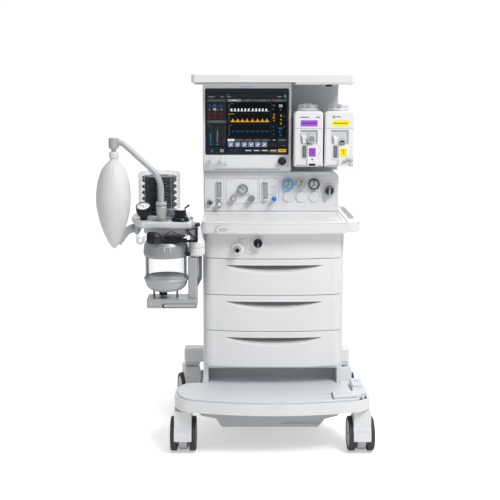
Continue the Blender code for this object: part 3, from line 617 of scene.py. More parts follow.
pedal = prism("pedal_plate", [(216, -68), (318, -49), (318, -34), (335.5, -34), (335.5, 100), (292.5, 100), (292.5, -8), (216, -8)], 220.0, 236.5)
mod_bevel(pedal, 3.4, 4, 40)
bake(pedal)
tab = prism("pt", [(292.5, 24), (335.5, 24), (335.5, 100), (292.5, 100)], 222, 247.0, r=5, seg=4)
add(pedal, tab)
put(pedal, "brake_pedal_body", "mat_blue_grey", "brake_pedal")
marks = []
for i in range(4):
    x = 232 + i * 16
    marks.append(prism("mk", [(x, -48 + i * 2.6), (x + 4, -47.4 + i * 2.6), (x + 4, -26 + i * 1.4), (x, -26.6 + i * 1.4)], 236.0, 237.6, r=0.5, seg=2))
marks.append(ring("mk", 8.5, 11, 246.6, 248.2, (314, 66, 0)))
marks.append(box("mk", 309, 319, 65, 67, 246.6, 248.2))
put(join("pedal_grip_marks", [paint(m, "light_grey") for m in marks]), "brake_pedal_body")

# -------------------------------------------------------------------- castors
CASTORS = {"fl": (-326, -5, 0.0), "fr": (326, -5, 0.0), "rl": (-320, 495, 14.0), "rr": (320, 495, 0.0)}
TRAIL, WR = 25.0, 62.5


def arc_pts(r, a0, a1, n, cy=TRAIL, cz=WR):
    return [(cy - r * math.cos(RAD(a0 + (a1 - a0) * i / n)), cz + r * math.sin(RAD(a0 + (a1 - a0) * i / n))) for i in range(n + 1)]


def local_castor():
    """One castor at the working origin: hood, web, and wheel pieces."""
    hood = prism("hood", arc_pts(67.2, -6, 140, 40) + list(reversed(arc_pts(63.8, -6, 140, 40))), -32, 32, axis="X")
    mod_bevel(hood, 1.6, 3, 40)
    bake(hood)
    lip = prism("lip", arc_pts(67.8, 22, 58, 16) + list(reversed(arc_pts(66.0, 22, 58, 16))), -22, 22, axis="X", r=0.5, seg=2)
    ridge = prism("ridge", arc_pts(68.0, -6, 2, 4) + list(reversed(arc_pts(62.5, -6, 2, 4))), -27, 27, axis="X", r=0.8, seg=2)
    rib = prism("rib", arc_pts(66.0, 20, 132, 30) + list(reversed(arc_pts(30.0, 20, 132, 30))), -20, 20, axis="X")
    boss = turned("boss", round_profile([(0, 166), (27.5, 166), (27.5, 130), (20, 122), (17, 110), (0, 110)], 2.0))
    crown_ = prism("crown", [(-29, 165)] + arc_pts(66.0, 35, 112, 18) + [(50, 165)], -31.5, 31.5, axis="X", r=4.5, seg=4)
    add(hood, ridge, rib, crown_)
    hole = drum("hole", 12.6, -60, 60, (0, TRAIL, WR), (1, 0, 0))
    cut(hood, hole)
    web = turned("web", round_profile([(12.6, 18.5), (50, 18.5), (57.5, 14), (57.5, -14), (50, -18.5), (12.6, -18.5), (12.6, 18.5)], 3, 3)[:-1], (0, TRAIL, WR), (1, 0, 0), 72)
    cut(web, box("flat", -40, 40, -80, 140, -20, 10))
    paint(hood, "white")
    paint(lip, "hub")
    paint(web, "roller")
    paint(boss, "white")
    stem = paint(drum("stem", 9.6, 160, 202, (0, 0, 0), edge=1), "steel")
    fork = join("fork", [hood, lip, web, boss, stem])
    tyres, hubs = [], []
    for s in (1, -1):
        prof = [(44, 24.5), (59.0, 22.7), (61.5, 24.0), (62.5, 27.0), (62.5, 29.8), (61.7, 30.0), (61.7, 31.0), (62.5, 31.2), (62.5, 36.8), (61.7, 37.0), (61.7, 38.0), (62.5, 38.2), (62.5, 41.5), (61.8, 44.5), (59.5, 46.6), (56.0, 47.0), (50.5, 46.2), (48.5, 44.5), (44, 44.0)]
        t = turned("tyre", [(r, s * h) for r, h in prof], (0, TRAIL, WR), (1, 0, 0), 96)
        tyres.append(paint(t, "tyre"))
        hp = [(0, 41.5), (10, 41.5), (12, 43.5), (18, 43.5), (20, 40.0), (36, 40.6), (42, 44.6), (47.0, 45.4), (49.2, 43.5), (49.2, 30), (45, 24.0), (12, 23.0), (0, 23.0)]
        hub = turned("hub", [(r, s * h) for r, h in hp], (0, TRAIL, WR), (1, 0, 0), 72)
        hubs.append(paint(hub, "hub"))
        hubs.append(paint(turned("cap", [(r, s * h) for r, h in [(0, 46.0), (6, 45.6), (8.6, 43.8), (8.6, 41.0), (0, 41.0)]], (0, TRAIL, WR), (1, 0, 0), 40), "mid_grey"))
    hubs.append(paint(drum("axle", 10.4, -23.5, 23.5, (0, TRAIL, WR), (1, 0, 0)), "steel"))
    wheel = join("wheel", tyres + hubs)
    return fork, wheel


fork0, wheel0 = local_castor()
for key, (sx, sy, turn) in CASTORS.items():
    place = Matrix.Translation(Vector((sx + OX, sy + OY, 0)) * 0.001) @ Matrix.Rotation(RAD(turn), 4, "Z") @ Matrix.Translation(-OFF * 0.001)
    for src, name, body, node in ((fork0, "castor_fork_", "caster_", "caster_fork_"), (wheel0, "castor_wheels_", "wheels_", "caster_wheels_")):
        me = src.data.copy()
        me.transform(place)
        o = bpy.data.objects.new(name + key, me)
        bpy.context.scene.collection.objects.link(o)
        put(o, body + key, None, node + key)
for o in (fork0, wheel0):
    bpy.data.objects.remove(o, do_unlink=True)


# ------------------------------------------------------- more shape helpers
def inset_outline(pts, d):
    """Move a closed outline inwards by d along its corner normals."""
    n = len(pts)
    area = sum(pts[i][0] * pts[(i + 1) % n][1] - pts[(i + 1) % n][0] * pts[i][1] for i in range(n))
    sign = 1.0 if area > 0 else -1.0
    out = []
    for i in range(n):
        p, a, b = Vector(pts[i]), Vector(pts[i - 1]), Vector(pts[(i + 1) % n])
        e1, e2 = (p - a), (b - p)
        if e1.length < 1e-9 or e2.length < 1e-9:
            out.append(tuple(p))
            continue
        n1 = Vector((-e1.y, e1.x)).normalized() * sign
        n2 = Vector((-e2.y, e2.x)).normalized() * sign
        m = n1 + n2
        if m.length < 1e-6:
            out.append(tuple(p))
            continue
        m.normalize()
        k = 1.0 / max(0.45, m.dot(n1))
        out.append(tuple(p + m * d * k))
    return out


def loft(name, outline, rows, axis="Z", caps=True):
    """Stack copies of one outline: rows of (height, inset)."""
    order = {"Z": (0, 1, 2), "Y": (0, 2, 1), "X": (1, 2, 0)}[axis]
    bm = bmesh.new()
    rings = []
    for h, d in rows:
        ringv = []
        for a, b in (inset_outline(outline, d) if d else outline):
            p = [0.0, 0.0, 0.0]
            p[order[0]], p[order[1]], p[order[2]] = a, b, h
            ringv.append(bm.verts.new(W(p)))
        rings.append(ringv)
    n = len(outline)
    for r0, r1 in zip(rings, rings[1:]):
        for i in range(n):
            bm.faces.new((r0[i], r0[(i + 1) % n], r1[(i + 1) % n], r1[i]))
    if caps:
        bm.faces.new(rings[0])
        bm.faces.new(rings[-1])
    return _keep(bm, name)


def eased(low, high, r_low, r_high, seg=5):
    """Rows for loft() with a quarter round at each end."""
    rows = []
    if r_low:
        for i in range(seg + 1):
            a = RAD(90 * i / seg)
            rows.append((low + r_low * (1 - math.cos(a)), r_low * (1 - math.sin(a))))
    else:
        rows.append((low, 0))
    if r_high:
        for i in range(seg + 1):
            a = RAD(90 * i / seg)
            rows.append((high - r_high * (1 - math.sin(a)), r_high * (1 - math.cos(a))))
    else:
        rows.append((high, 0))
    return rows


def line3(name, pts, width, thick, facing=(0, -1, 0)):
    """A thin printed or moulded line through 3-D points, lying flat against a surface that faces `facing`."""
    bm = bmesh.new()
    f = Vector(facing).normalized()
    n = len(pts)
    rows = []
    for i in range(n):
        a, b = Vector(pts[max(i - 1, 0)]), Vector(pts[min(i + 1, n - 1)])
        side = (b - a).normalized().cross(f).normalized() * (width / 2)
        p = Vector(pts[i])
        rows.append([bm.verts.new(W(p + side + f * thick)), bm.verts.new(W(p - side + f * thick)), bm.verts.new(W(p - side - f * 0.3)), bm.verts.new(W(p + side - f * 0.3))])
    for r0, r1 in zip(rows, rows[1:]):
        for k in range(4):
            bm.faces.new((r0[k], r0[(k + 1) % 4], r1[(k + 1) % 4], r1[k]))
    bm.faces.new(rows[0])
    bm.faces.new(list(reversed(rows[-1])))
    return _keep(bm, name)


def lobed(r, n, depth, power=1.0, res=6):
    """A grip outline with n flutes."""
    count = n * res
    return [((r - depth * (0.5 - 0.5 * math.cos(2 * math.pi * i * n / count)) ** power) * math.cos(2 * math.pi * i / count),
             (r - depth * (0.5 - 0.5 * math.cos(2 * math.pi * i * n / count)) ** power) * math.sin(2 * math.pi * i / count)) for i in range(count)]


def grip_knob(name, at, r, low, high, n=18, depth=0.9, edge=1.4, axis="Y", mat=None):
    """A fluted knob whose axis runs along an axis; low and high are signed heights from `at`."""
    pts = lobed(r, n, depth)
    if axis == "Y":
        pts = [(at[0] + a, at[2] + b) for a, b in pts]
        rows = [(at[1] - h, d) for h, d in eased(low, high, edge * 0.5, edge, 4)]
    else:
        pts = [(at[0] + a, at[1] + b) for a, b in pts]
        rows = [(at[2] + h, d) for h, d in eased(low, high, edge * 0.5, edge, 4)]
    o = loft(name, pts, rows, axis)
    if mat:
        paint(o, mat)
    return o


# --------------------------------------------------------- cabinet, drawers
# The drawer white multiplies its base colour by ambient occlusion within each piece. This is painted shade: darker in
# the grip scoops, corners and hollows.
mat_d = moulded("drawer_white_painted_shade", (0.79, 0.795, 0.80), 0.36, coat=0.15)
tree_d = mat_d.node_tree
bsdf_d = tree_d.nodes["Principled BSDF"]
base_link = bsdf_d.inputs["Base Color"].links[0].from_socket
painted_shade_ao = tree_d.nodes.new("ShaderNodeAmbientOcclusion")
painted_shade_ao.samples = 6
painted_shade_ao.only_local = True
painted_shade_ao.inputs["Distance"].default_value = 0.05
shade = tree_d.nodes.new("ShaderNodeMix")
shade.data_type = "RGBA"
shade.blend_type = "MULTIPLY"
shade.inputs["Factor"].default_value = 1.0
tree_d.links.new(base_link, shade.inputs["A"])
painted_shade_colour = tree_d.nodes.new("ShaderNodeCombineColor")
painted_shade_amount = _range(tree_d, painted_shade_ao.outputs["AO"], 0.35, 0.85, 0.34, 1.0)
for ch in ("Red", "Green", "Blue"):
    tree_d.links.new(painted_shade_amount, painted_shade_colour.inputs[ch])
tree_d.links.new(painted_shade_colour.outputs["Color"], shade.inputs["B"])
tree_d.links.new(shade.outputs["Result"], bsdf_d.inputs["Base Color"])
moulded("tray_grey", (0.50, 0.515, 0.53), 0.5)
moulded("shell_inner", (0.45, 0.46, 0.475), 0.55)

C0, C1, CY0, CY1, CZ0, CZ1 = -255.0, 264.5, 105.0, 560.0, 218.1, 805.4
SPLITS = (299.0, 436.0, 572.0, 708.0)
FX0, FX1 = -245.5, 254.5


def front_y(x):
    return 62.0 + 26.0 * abs((x - (FX0 + FX1) / 2) / ((FX1 - FX0) / 2)) ** 2.7


side_prof = [(C0, CY0 + 3), (C0 + 1, CY0 + 1), (C0 + 3, CY0), (C1 - 3, CY0), (C1 - 1, CY0 + 1), (C1, CY0 + 3), (C1, CY1 - 10), (C1 - 3, CY1 - 3), (C1 - 10, CY1), (C0 + 10, CY1), (C0 + 3, CY1 - 3), (C0, CY1 - 10)]
shell = loft("cabinet_body", side_prof, eased(CZ0, CZ1, 1.2, 1.2, 3))
cuts = [box("bay", C0 + 18, C1 - 18, 95, 540, lo + 3, hi - 3) for lo, hi in zip(SPLITS, SPLITS[1:])]
cuts += [box("ks", C0 + 18, C1 - 18, 95, 237, CZ0 - 5, 284.4), box("bn", C0 - 5, C1 + 5, 463.4, 526.6, CZ0 - 5, 246.5),
         box("lb", C0 + 18, C1 - 18, 250, 440, CZ0 - 5, 280), box("sb", C0 + 18, C1 - 18, 95, 540, 718, 795)]
# panel lines on both flanks and the access panel and louvres on the back
for x0, x1 in ((C0 - 2, C0 + 1.0), (C1 - 1.0, C1 + 2)):
    cuts += [box("pl", x0, x1, 134, 135.4, 262, 800), box("pl", x0, x1, 520, 521.4, 262, 800), box("pl", x0, x1, 134.7, 520.7, 291, 292.4), box("pl", x0, x1, 134.7, 520.7, 704, 705.4)]
cuts += [box("bl", -200, 210, CY1 - 1.0, CY1 + 2, 300, 301.4), box("bl", -200, 210, CY1 - 1.0, CY1 + 2, 690, 691.4), box("bl", -201.4, -200, CY1 - 1.0, CY1 + 2, 300, 691.4), box("bl", 210, 211.4, CY1 - 1.0, CY1 + 2, 300, 691.4)]
for i in range(9):
    cuts.append(box("lv", -150, -30, CY1 - 4, CY1 + 2, 330 + i * 11, 334.5 + i * 11))
    cuts.append(box("lv", 40, 160, CY1 - 4, CY1 + 2, 330 + i * 11, 334.5 + i * 11))
cut(shell, *cuts)
put(shell, "machine", "white_steel", "cabinet_shell")
liners = []
for lo, hi in zip(SPLITS, SPLITS[1:]):
    for x0, x1 in ((C0 + 18.2, C0 + 19.0), (C1 - 19.0, C1 - 18.2)):
        liners.append(paint(box("ln", x0, x1, 112, 538, lo + 4, hi - 4), "shell_inner"))
    liners.append(paint(box("ln", C0 + 19, C1 - 19, 538.6, 539.4, lo + 4, hi - 4), "shell_inner"))
    for x0, x1 in ((C0 + 19.2, C0 + 22.4), (C1 - 22.4, C1 - 19.2)):
        liners.append(paint(box("rail", x0, x1, 112, 530, (lo + hi) / 2 - 16, (lo + hi) / 2 + 6, r=0.8, seg=2), "steel"))
put(join("drawer_bay_liners", liners), "machine")
bits = []
for x, d in ((C0, (-1, 0, 0)), (C1, (1, 0, 0))):
    for y in (145, 510):
        for z in (302, 498, 694, 716, 790):
            bits.append(screw_head("sc", x, y, z, 3.4, d))
for x in (-192, 202):
    for z in (310, 495, 681):
        bits.append(screw_head("sc", x, CY1, z, 3.4))
# gas inlets, mains inlet, fuses and earth stud on the back
for i, (x, m) in enumerate(((-190, "dial_white"), (-150, "black"), (-110, "blue"))):
    bits.append(paint(ring("gi", 9, 15, -1, 5, (x, CY1, 748), (0, 1, 0), 1.0, 40), m))
    bits.append(paint(turned("gn", [(3.5, 22), (6.4, 22), (7, 20), (7, 14), (8.2, 13), (8.2, 4), (10, 3), (10, -1), (3.5, -1)], (x, CY1, 748), (0, 1, 0), 32), "chrome"))
bits.append(paint(box("mi", 60, 128, CY1 - 1, CY1 + 4, 724, 776, r=2), "black"))
bits.append(paint(box("mi", 72, 116, CY1 + 3, CY1 + 8, 736, 764, r=1.5), "mid_grey"))
for dx in (-9, 0, 9):
    bits.append(paint(box("pin", 94 + dx - 1.2, 94 + dx + 1.2, CY1 + 6, CY1 + 10, 745, 753), "steel"))
for x in (150, 176):
    bits.append(paint(drum("fuse", 8, -1, 7, (x, CY1, 750), (0, 1, 0), 1.2, 32), "black"))
    bits.append(paint(box("slot", x - 5, x + 5, CY1 + 6.6, CY1 + 7.5, 749.2, 750.8), "mid_grey"))
bits.append(paint(turned("earth", [(0, 16), (4, 16), (4, 6), (8, 6), (8, -1), (0, -1)], (206, CY1, 750), (0, 1, 0), 6), "steel"))
bits.append(paint(box("plate", -60, 30, CY1 - 0.4, CY1 + 0.5, 730, 770, r=0.3, seg=2), "satin_metal"))
for j in range(4):
    bits.append(paint(box("rule", -52, 22 - j * 9, CY1 + 0.3, CY1 + 0.7, 762 - j * 8, 763.6 - j * 8), "grey_line"))
put(join("cabinet_fittings", bits), "machine")


def bowed_front(name, low, high, grip, round_low=0.0):
    """A bowed panel with rounded ends. With a grip, its face is scooped under a straight lip."""
    outline = bowed(FX0, FX1, 88.0, 62.0, 104.4, 21.0, 84, 2.7, 40.0)
    n_front = len(outline) - 2
    ztop, gx, half, depth = high - 22.0, 7.0, 180.0, 29.0
    rows = [(h, d, 0) for h, d in eased(low, high, 2.2, 2.2, 3)]
    if grip:
        under = [ztop - 40.0 * (i / 26.0) ** 1.15 for i in range(27)]
        rows = [r for r in rows if r[0] < low + 3] + [(z, 0.0, 1) for z in reversed(under)] + [(ztop, 0.0, 0)] + [(ztop + 3, 0.0, 0)] + [r for r in rows if r[0] > high - 3]
    bm = bmesh.new()
    rings = []
    for z, d, scooped in rows:
        pts = inset_outline(outline, d) if d else outline
        ringv = []
        for i, (x, y) in enumerate(pts):
            if scooped and 12 < i < n_front - 12:
                u = (x - gx) / half
                if abs(u) < 1.0:
                    reach = 36.0 * (1 - u * u) ** 0.75 + 0.01
                    v = min(1.0, (ztop - z) / reach)
                    y += depth * (1 - u * u) ** 0.9 * (1 - v * v * (3 - 2 * v))
            zz = z
            if round_low and z < low + round_low:
                e = min(x - FX0, FX1 - x)
                if e < round_low:
                    zz = max(z, low + round_low - math.sqrt(max(0.0, round_low ** 2 - (round_low - e) ** 2)))
            ringv.append(bm.verts.new(W((x, y, zz))))
        rings.append(ringv)
    n = len(outline)
    for r0, r1 in zip(rings, rings[1:]):
        for i in range(n):
            bm.faces.new((r0[i], r0[(i + 1) % n], r1[(i + 1) % n], r1[i]))
    bm.faces.new(rings[0])
    bm.faces.new(rings[-1])
    return _keep(bm, name)


def tray(name, low, high):
    outer = rounded_rect(-230.8, 239.8, 101.5, 518.6, 8, 5)
    body = loft(name, outer, eased(low + 9.2, high - 20.4, 2.5, 0.6, 3))
    inner = loft("in", rounded_rect(-228.2, 237.2, 104.9, 516.0, 6, 5), eased(low + 11.8, high + 10, 2.5, 0, 3))
    cut(body, inner)
    dividers = [box("dv", -228, 237, 246, 247.6, low + 11.0, high - 46, r=0.4, seg=2), box("dv", 62, 63.6, 247, 516, low + 11.0, high - 46, r=0.4, seg=2)]
    sides = [box("sl", x0, x1, 122, 514, (low + high) / 2 - 11, (low + high) / 2 + 1, r=0.8, seg=2) for x0, x1 in ((-231.9, -230.9), (239.9, 240.9))]
    return join(name, [paint(body, "tray_grey")] + [paint(d, "light_grey") for d in dividers] + [paint(x, "steel") for x in sides])


for number, key in ((2, "top"), (1, "middle"), (0, "bottom")):
    low, high = SPLITS[number] + 1.5, SPLITS[number + 1] - 1.5
    face = bowed_front("drawer_face_" + key, low, high, True, 18.0 if key == "bottom" else 0.0)
    put(face, "drawer_%s_body" % key, "drawer_white_painted_shade", "drawer_" + key, smooth=42)
    if key != "bottom":
        lip = loft("lip_" + key, bowed(FX0, FX1, 88.0, 62.0, 104.4, 21.0, 84, 2.7, 40.0), [(low - 1.4, 2.6), (low + 0.6, 2.6)])
        put(paint(lip, "white"), "drawer_%s_body" % key)
    put(tray("drawer_tray_" + key, low, high), "drawer_%s_body" % key)

# ------------------------------------------------ fascia, outlet and selector
fascia = bowed_front("outlet_panel", 710.0, 804.4, False)
cut(fascia, drum("bore", 13.5, -30, 30, (-53, 70, 768), (0, 1, 0), 0, 48))
# the fascia also takes the drawer white, with its painted shade in hollows
put(fascia, "machine", "drawer_white_painted_shade", "outlet_fascia", smooth=42)
put(paint(loft("fascia_lip", bowed(FX0, FX1, 88.0, 62.0, 104.4, 21.0, 84, 2.7, 40.0), [(708.1, 2.6), (710.6, 2.6)]), "white"), "machine")

OX1, OZ1 = -128.0, 746.0
cone = turned("outlet_cone", round_profile([(13.2, 2), (13.2, 15.0), (15.6, 15.4), (20.4, 9.0), (22.8, 4.0), (23.0, 0.0), (13.2, 0.0)], 1.2, 3), (OX1, 67.0, OZ1), (0, -1, 0), 72)
nozzle = turned("outlet_nozzle", round_profile([(7.6, 33.8), (10.8, 33.8), (12.3, 31.2), (13.0, 22.0), (13.0, 0.0), (0, 0.0), (0, 12.2), (7.6, 12.2), (7.6, 33.8)], 0.8, 3), (OX1, 67.0, OZ1), (0, -1, 0), 64)
skirt = turned("outlet_skirt", [(22.6, 0.2), (24.8, -1.0), (25.2, -4.0), (25.2, -7.5), (20, -7.5), (20, 0.2)], (OX1, 67.0, OZ1), (0, -1, 0), 64)
dark = turned("outlet_dark", [(0, 12.6), (7.5, 12.6), (7.5, 12.3), (0, 12.3)], (OX1, 67.0, OZ1), (0, -1, 0), 40)
put(join("fresh_gas_fitting", [paint(cone, "warm_white"), paint(nozzle, "satin_metal"), paint(skirt, "light_grey"), paint(dark, "black")]), "machine", None, "fresh_gas_outlet")

SX, SZ = -53.0, 768.0
rim = turned("selector_rim", round_profile([(16.4, 5.8), (22.6, 5.8), (25.3, 2.6), (25.3, 0.0), (16.4, 0.0)], 1.3, 3), (SX, 61.9, SZ), (0, -1, 0), 72)
put(paint(rim, "warm_white"), "machine")
body = grip_knob("selector_body", (SX, 62.0, SZ), 15.3, 0.2, 17.8, 24, 0.5, 1.6)
bar = prism("bar", rounded_rect(SX - 3.1, SX + 3.1, SZ - 13.6, SZ + 13.6, 2.8, 5), 34.4, 46.0, "Y", r=0.8, seg=2)
pointer = box("pt", SX - 0.9, SX + 0.9, 33.9, 36.0, SZ - 12.5, SZ - 1, r=0.3, seg=2)
put(join("selector_knob", [paint(body, "navy"), paint(bar, "black"), paint(pointer, "light_grey")]), "outlet_selector_body", None, "outlet_selector")


def on_fascia(pts, lift=0.0):
    return [(x, front_y(x) - lift, z) for x, z in pts]


def densify(pts, step=6.0):
    out = []
    for a, b in zip(pts, pts[1:]):
        k = max(1, int(math.dist(a, b) / step))
        out += [(a[0] + (b[0] - a[0]) * i / k, a[1] + (b[1] - a[1]) * i / k) for i in range(k)]
    return out + [pts[-1]]


orange_path = [(-125.5, 776), (-125.5, 788), (-79, 788), (-79.5, 779), (-83, 770), (-84, 757), (-99, 757), (-101, 765), (-109, 771), (-117, 776), (-125.5, 776)]
marks = [paint(line3("ol", on_fascia(densify(orange_path)), 1.3, 0.35), "orange"),
         paint(line3("ol", on_fascia(densify([(-99, 757), (-98, 745), (-101, 736), (-104, 731)])), 1.3, 0.35), "orange"),
         paint(line3("gl", on_fascia(densify([(-94, 754), (-94, 742), (-98, 732), (-104, 729), (-50.5, 729), (-50.5, 735), (-66, 737)])), 1.1, 0.35), "grey_line"),
         paint(line3("gl", on_fascia(densify([(-66, 737), (-78, 745), (-82, 754)])), 0.9, 0.35), "grey_line"),
         paint(line3("gl", on_fascia([(-87, 742), (-81, 742)]), 3.2, 0.35), "grey_line")]
for x0, x1, z in ((-121, -113, 783), (-111, -104, 783), (-102, -94, 783), (-121, -110, 779.6), (-96, -88, 774), (-94, -87, 765)):
    marks.append(paint(line3("tx", on_fascia([(x0, z), (x1, z)]), 1.7, 0.35), "grey_line"))
put(join("outlet_markings", marks), "machine")

# -------------------------------------------------------------------- worktop
T0, T1, TZ0, TZ1 = -258.0, 267.4, 806.0, 849.0


def top_outline(extra=0.0, n=60):
    pts = [p for p in bowed(T0, T1, 40, 20, 560, 22, n) if p[0] < T1 - 21.0 or p[1] > 540]
    pts.insert(-2, (T1 - 9.0, 39.0))
    pts.insert(-2, (T1, 40.0))
    return pts


worktop = loft("worktop_body", top_outline(), [(TZ0, 5.5), (TZ0 + 0.5, 3.4), (TZ0 + 1.7, 1.7), (TZ0 + 3.6, 0.6), (TZ0 + 6.5, 0.0), (TZ1 - 6.0, 0.0), (TZ1 - 5.4, 0.9), (TZ1 - 4.6, 0.9), (TZ1 - 4.0, 0.0), (TZ1 - 2.2, 0.15), (TZ1 - 0.7, 0.9), (TZ1, 2.4)])
dish_pts = bowed(T0 + 12, T1 - 12, 53, 33, 292, 20, 40)
cut(worktop, loft("dish", dish_pts, [(TZ1 - 3, 3.0), (TZ1 - 2.6, 1.2), (TZ1 - 1.4, 0.3), (TZ1 + 6, 0.0)]),
    prism("well", oval_pts(-179.6, 823, 25.8, 15.6, 64), 10, 48, "Y"))
put(worktop, "machine", "warm_white", "worktop", smooth=40)
put(paint(loft("edge_line", top_outline(), [(TZ1 - 5.5, 0.6), (TZ1 - 4.5, 0.6)]), "mid_grey"), "machine")
put(paint(box("handle_joint", 267.45, 267.85, 44, 526, 811, 848), "grey_line"), "machine")

btn = loft("flush_rim", oval_pts(-179.6, 823, 24.7, 14.5, 72), [(38.6, 0), (22.5, 0), (21.2, 0.6), (20.6, 1.8), (20.6, 4.6), (21.6, 5.4)], "Y")
pad = loft("flush_pad", oval_pts(-179.6, 823, 19.2, 9.0, 64), [(22.4, 0.0), (21.4, 0.2), (21.0, 0.9)], "Y")
tags = [ring("fm", 2.5, 3.6, -0.4, 0.3, (-187.5, 20.95, 824), (0, -1, 0), 0.1, 32), ring("fm", 1.2, 1.9, -0.4, 0.3, (-182, 20.95, 821.4), (0, -1, 0), 0.1, 24),
        box("fm", -176.5, -168.5, 20.7, 21.2, 823.3, 824.7), box("fm", -173.2, -171.8, 20.7, 21.2, 820, 828)]
put(join("flush_button", [paint(btn, "warm_white"), paint(pad, "light_grey")] + [paint(t, "mid_grey") for t in tags]), "oxygen_flush_body", None, "oxygen_flush_button")

handle_pts = [(267.9, 41), (286, 42), (303, 48), (314, 62), (320, 86), (320.8, 120), (321, 200), (321, 420), (318, 470), (308, 500), (290, 520), (267.9, 528)]
handle_pts = [(p[0], p[1]) for p in smooth_route([(*p, 0) for p in handle_pts], 16, 5)]
bar_ = loft("push_handle", handle_pts, eased(810, 850, 6.0, 5.0, 5))
gap_pts = [(p[0], p[1]) for p in smooth_route([(*p, 0) for p in [(284, 112), (298, 118), (302.4, 140), (303, 200), (303, 400), (300, 436), (284, 452)]], 12, 4)]
gap = loft("gap", gap_pts, [(800, -2.5), (810, -1.5), (813, 0), (846, 0), (849, -1.2), (851, -3.5), (860, -6)])
cut(bar_, gap)
put(bar_, "machine", "white", "side_handle", smooth=40)

# -------------------------------------------------------------------- console
moulded("console_white", (0.80, 0.81, 0.825), 0.42, coat=0.1)
moulded("plate_white", (0.85, 0.855, 0.86), 0.38, coat=0.15)
moulded("knob_grey", (0.28, 0.29, 0.305), 0.34, coat=0.25)
moulded("knob_light", (0.60, 0.61, 0.62), 0.34, coat=0.2)
moulded("bright_blue", (0.01, 0.22, 0.80), 0.30, coat=0.4)
moulded("ring_blue", (0.03, 0.42, 0.90), 0.30, coat=0.4)
moulded("dial_green", (0.10, 0.42, 0.16), 0.4)
moulded("tube_back", (0.33, 0.34, 0.36), 0.4)
KX0, KX1, KY0, KY1, KZ0, KZ1 = -259.0, 266.0, 300.0, 560.0, 849.6, 1004.0

con_pts = [(KX0, KZ0), (KX1, KZ0)]
for i in range(13):
    a = RAD(90 * i / 12)
    con_pts.append((KX1 - 26 + 26 * math.cos(a), 978 + 26 * math.sin(a)))
con_pts += [(KX0, KZ1)]
console = loft("console_body", con_pts, [(KY1, 2.0), (KY1 - 2, 0)] + [(KY0 + 5 - 5 * math.sin(RAD(15 * i)), 5 - 5 * math.cos(RAD(15 * i))) for i in range(7)], "Y")
cut(console, drum("ob", 5.2, 0, 30, (-234, 287, 884.5), (0, 1, 0), 0, 32), box("seam", KX0 - 2, KX0 + 0.8, 420, 421.2, 850, 1003), box("seam", KX1 - 0.8, KX1 + 2, 420, 421.2, 850, 1003))
put(console, "machine", "console_white", "console_housing")

bits = []
PANELS = ((-254.4, -180.6, 863.5, 978.3), (-170.6, -49.2, 881.2, 978.3), (-41.4, 32.6, 883.5, 978.3))
for x0, x1, z0, z1 in PANELS:
    bits.append(paint(prism("plate", rounded_rect(x0, x1, z0, z1, 5, 6), 299.68, 301, "Y"), "plate_white"))
    rim_ = rounded_rect(x0, x1, z0, z1, 5, 6)
    bits.append(paint(line3("edge", [(x, 299.9, z) for x, z in rim_ + rim_[:2]], 1.0, 0.5), "grey_line"))
right_trace = rounded_rect(52, 258, 868, 986, 12, 6)
bits.append(paint(line3("edge", [(x, 299.9, z) for x, z in right_trace + right_trace[:2]], 0.7, 0.35), "panel_grey"))
for x, z in ((-163, 974), (-56, 974), (-163, 886), (-56, 886)):
    bits.append(screw_head("cs", x, 299.9, z, 1.9, (0, -1, 0), "light_grey"))
# plain printed rules where the legends stand
for x0, x1, z in ((-250, -238, 900), (-176.5, -176, 970), (-155, -145, 968), (-150, -132, 916), (-92, -84, 912), (-90, -78, 916), (-28, -20, 972.5), (-2, 26, 947), (2, 26, 939), (0, 26, 930), (4, 26, 921), (-4, 10, 915), (186, 190, 962), (262, 264, 962),
                  (206, 211, 893), (214, 218, 893), (224, 228, 893), (206, 211, 888), (214, 218, 888)):
    if x1 - x0 > 1:
        bits.append(paint(line3("rule", [(x0, 299.7, z), (x1, 299.7, z)], 1.5, 0.3), "grey_line"))
arc_ = [(8 + 9.5 * math.cos(RAD(a)), 299.7, 959 + 9.5 * math.sin(RAD(a))) for a in range(-40, 221, 15)]
bits.append(paint(line3("arc", arc_, 1.6, 0.35), "light_grey"))
put(join("console_panels", bits), "machine")

# blank caps, power bezel, oxygen port
bits = []
for gx in (70, 119.5, 170):
    bits.append(paint(turned("cap", round_profile([(0, 4.2), (17.5, 4.2), (20.2, 3.0), (21, 0.8), (21, -1), (0, -1)], 1.0, 4), (gx, KY0, 906), (0, -1, 0), 72), "console_white"))
    bits.append(paint(ring("capring", 21.0, 22.2, -1, 0.6, (gx, KY0, 906), (0, -1, 0), 0.3, 64), "panel_grey"))
bits.append(paint(turned("power_rim", round_profile([(18.2, 1), (18.2, 5.6), (21.5, 6.0), (27.5, 3.4), (29.5, -1), (18.2, -1)], 1.0, 3), (228, KY0, 932), (0, -1, 0), 80), "knob_light"))
bits.append(paint(ring("power_ring", 24.0, 26.2, 4.2, 4.9, (228, KY0, 932), (0, -1, 0), 0.2, 64), "plate_white"))
bits.append(paint(turned("o2_port", round_profile([(5.2, 12), (8.6, 12), (10, 10.4), (10, 4), (11.6, 3.4), (11.6, -1), (0, -1), (0, 0.2), (5.2, 0.2)], 0.7, 3), (-234, KY0, 884.5), (0, -1, 0), 48), "knob_grey"))
bits.append(paint(turned("o2_in", [(0, 1), (5.2, 1), (5.2, 0.6), (0, 0.6)], (-234, KY0, 884.5), (0, -1, 0), 32), "black"))
put(join("console_bosses", bits), "machine")


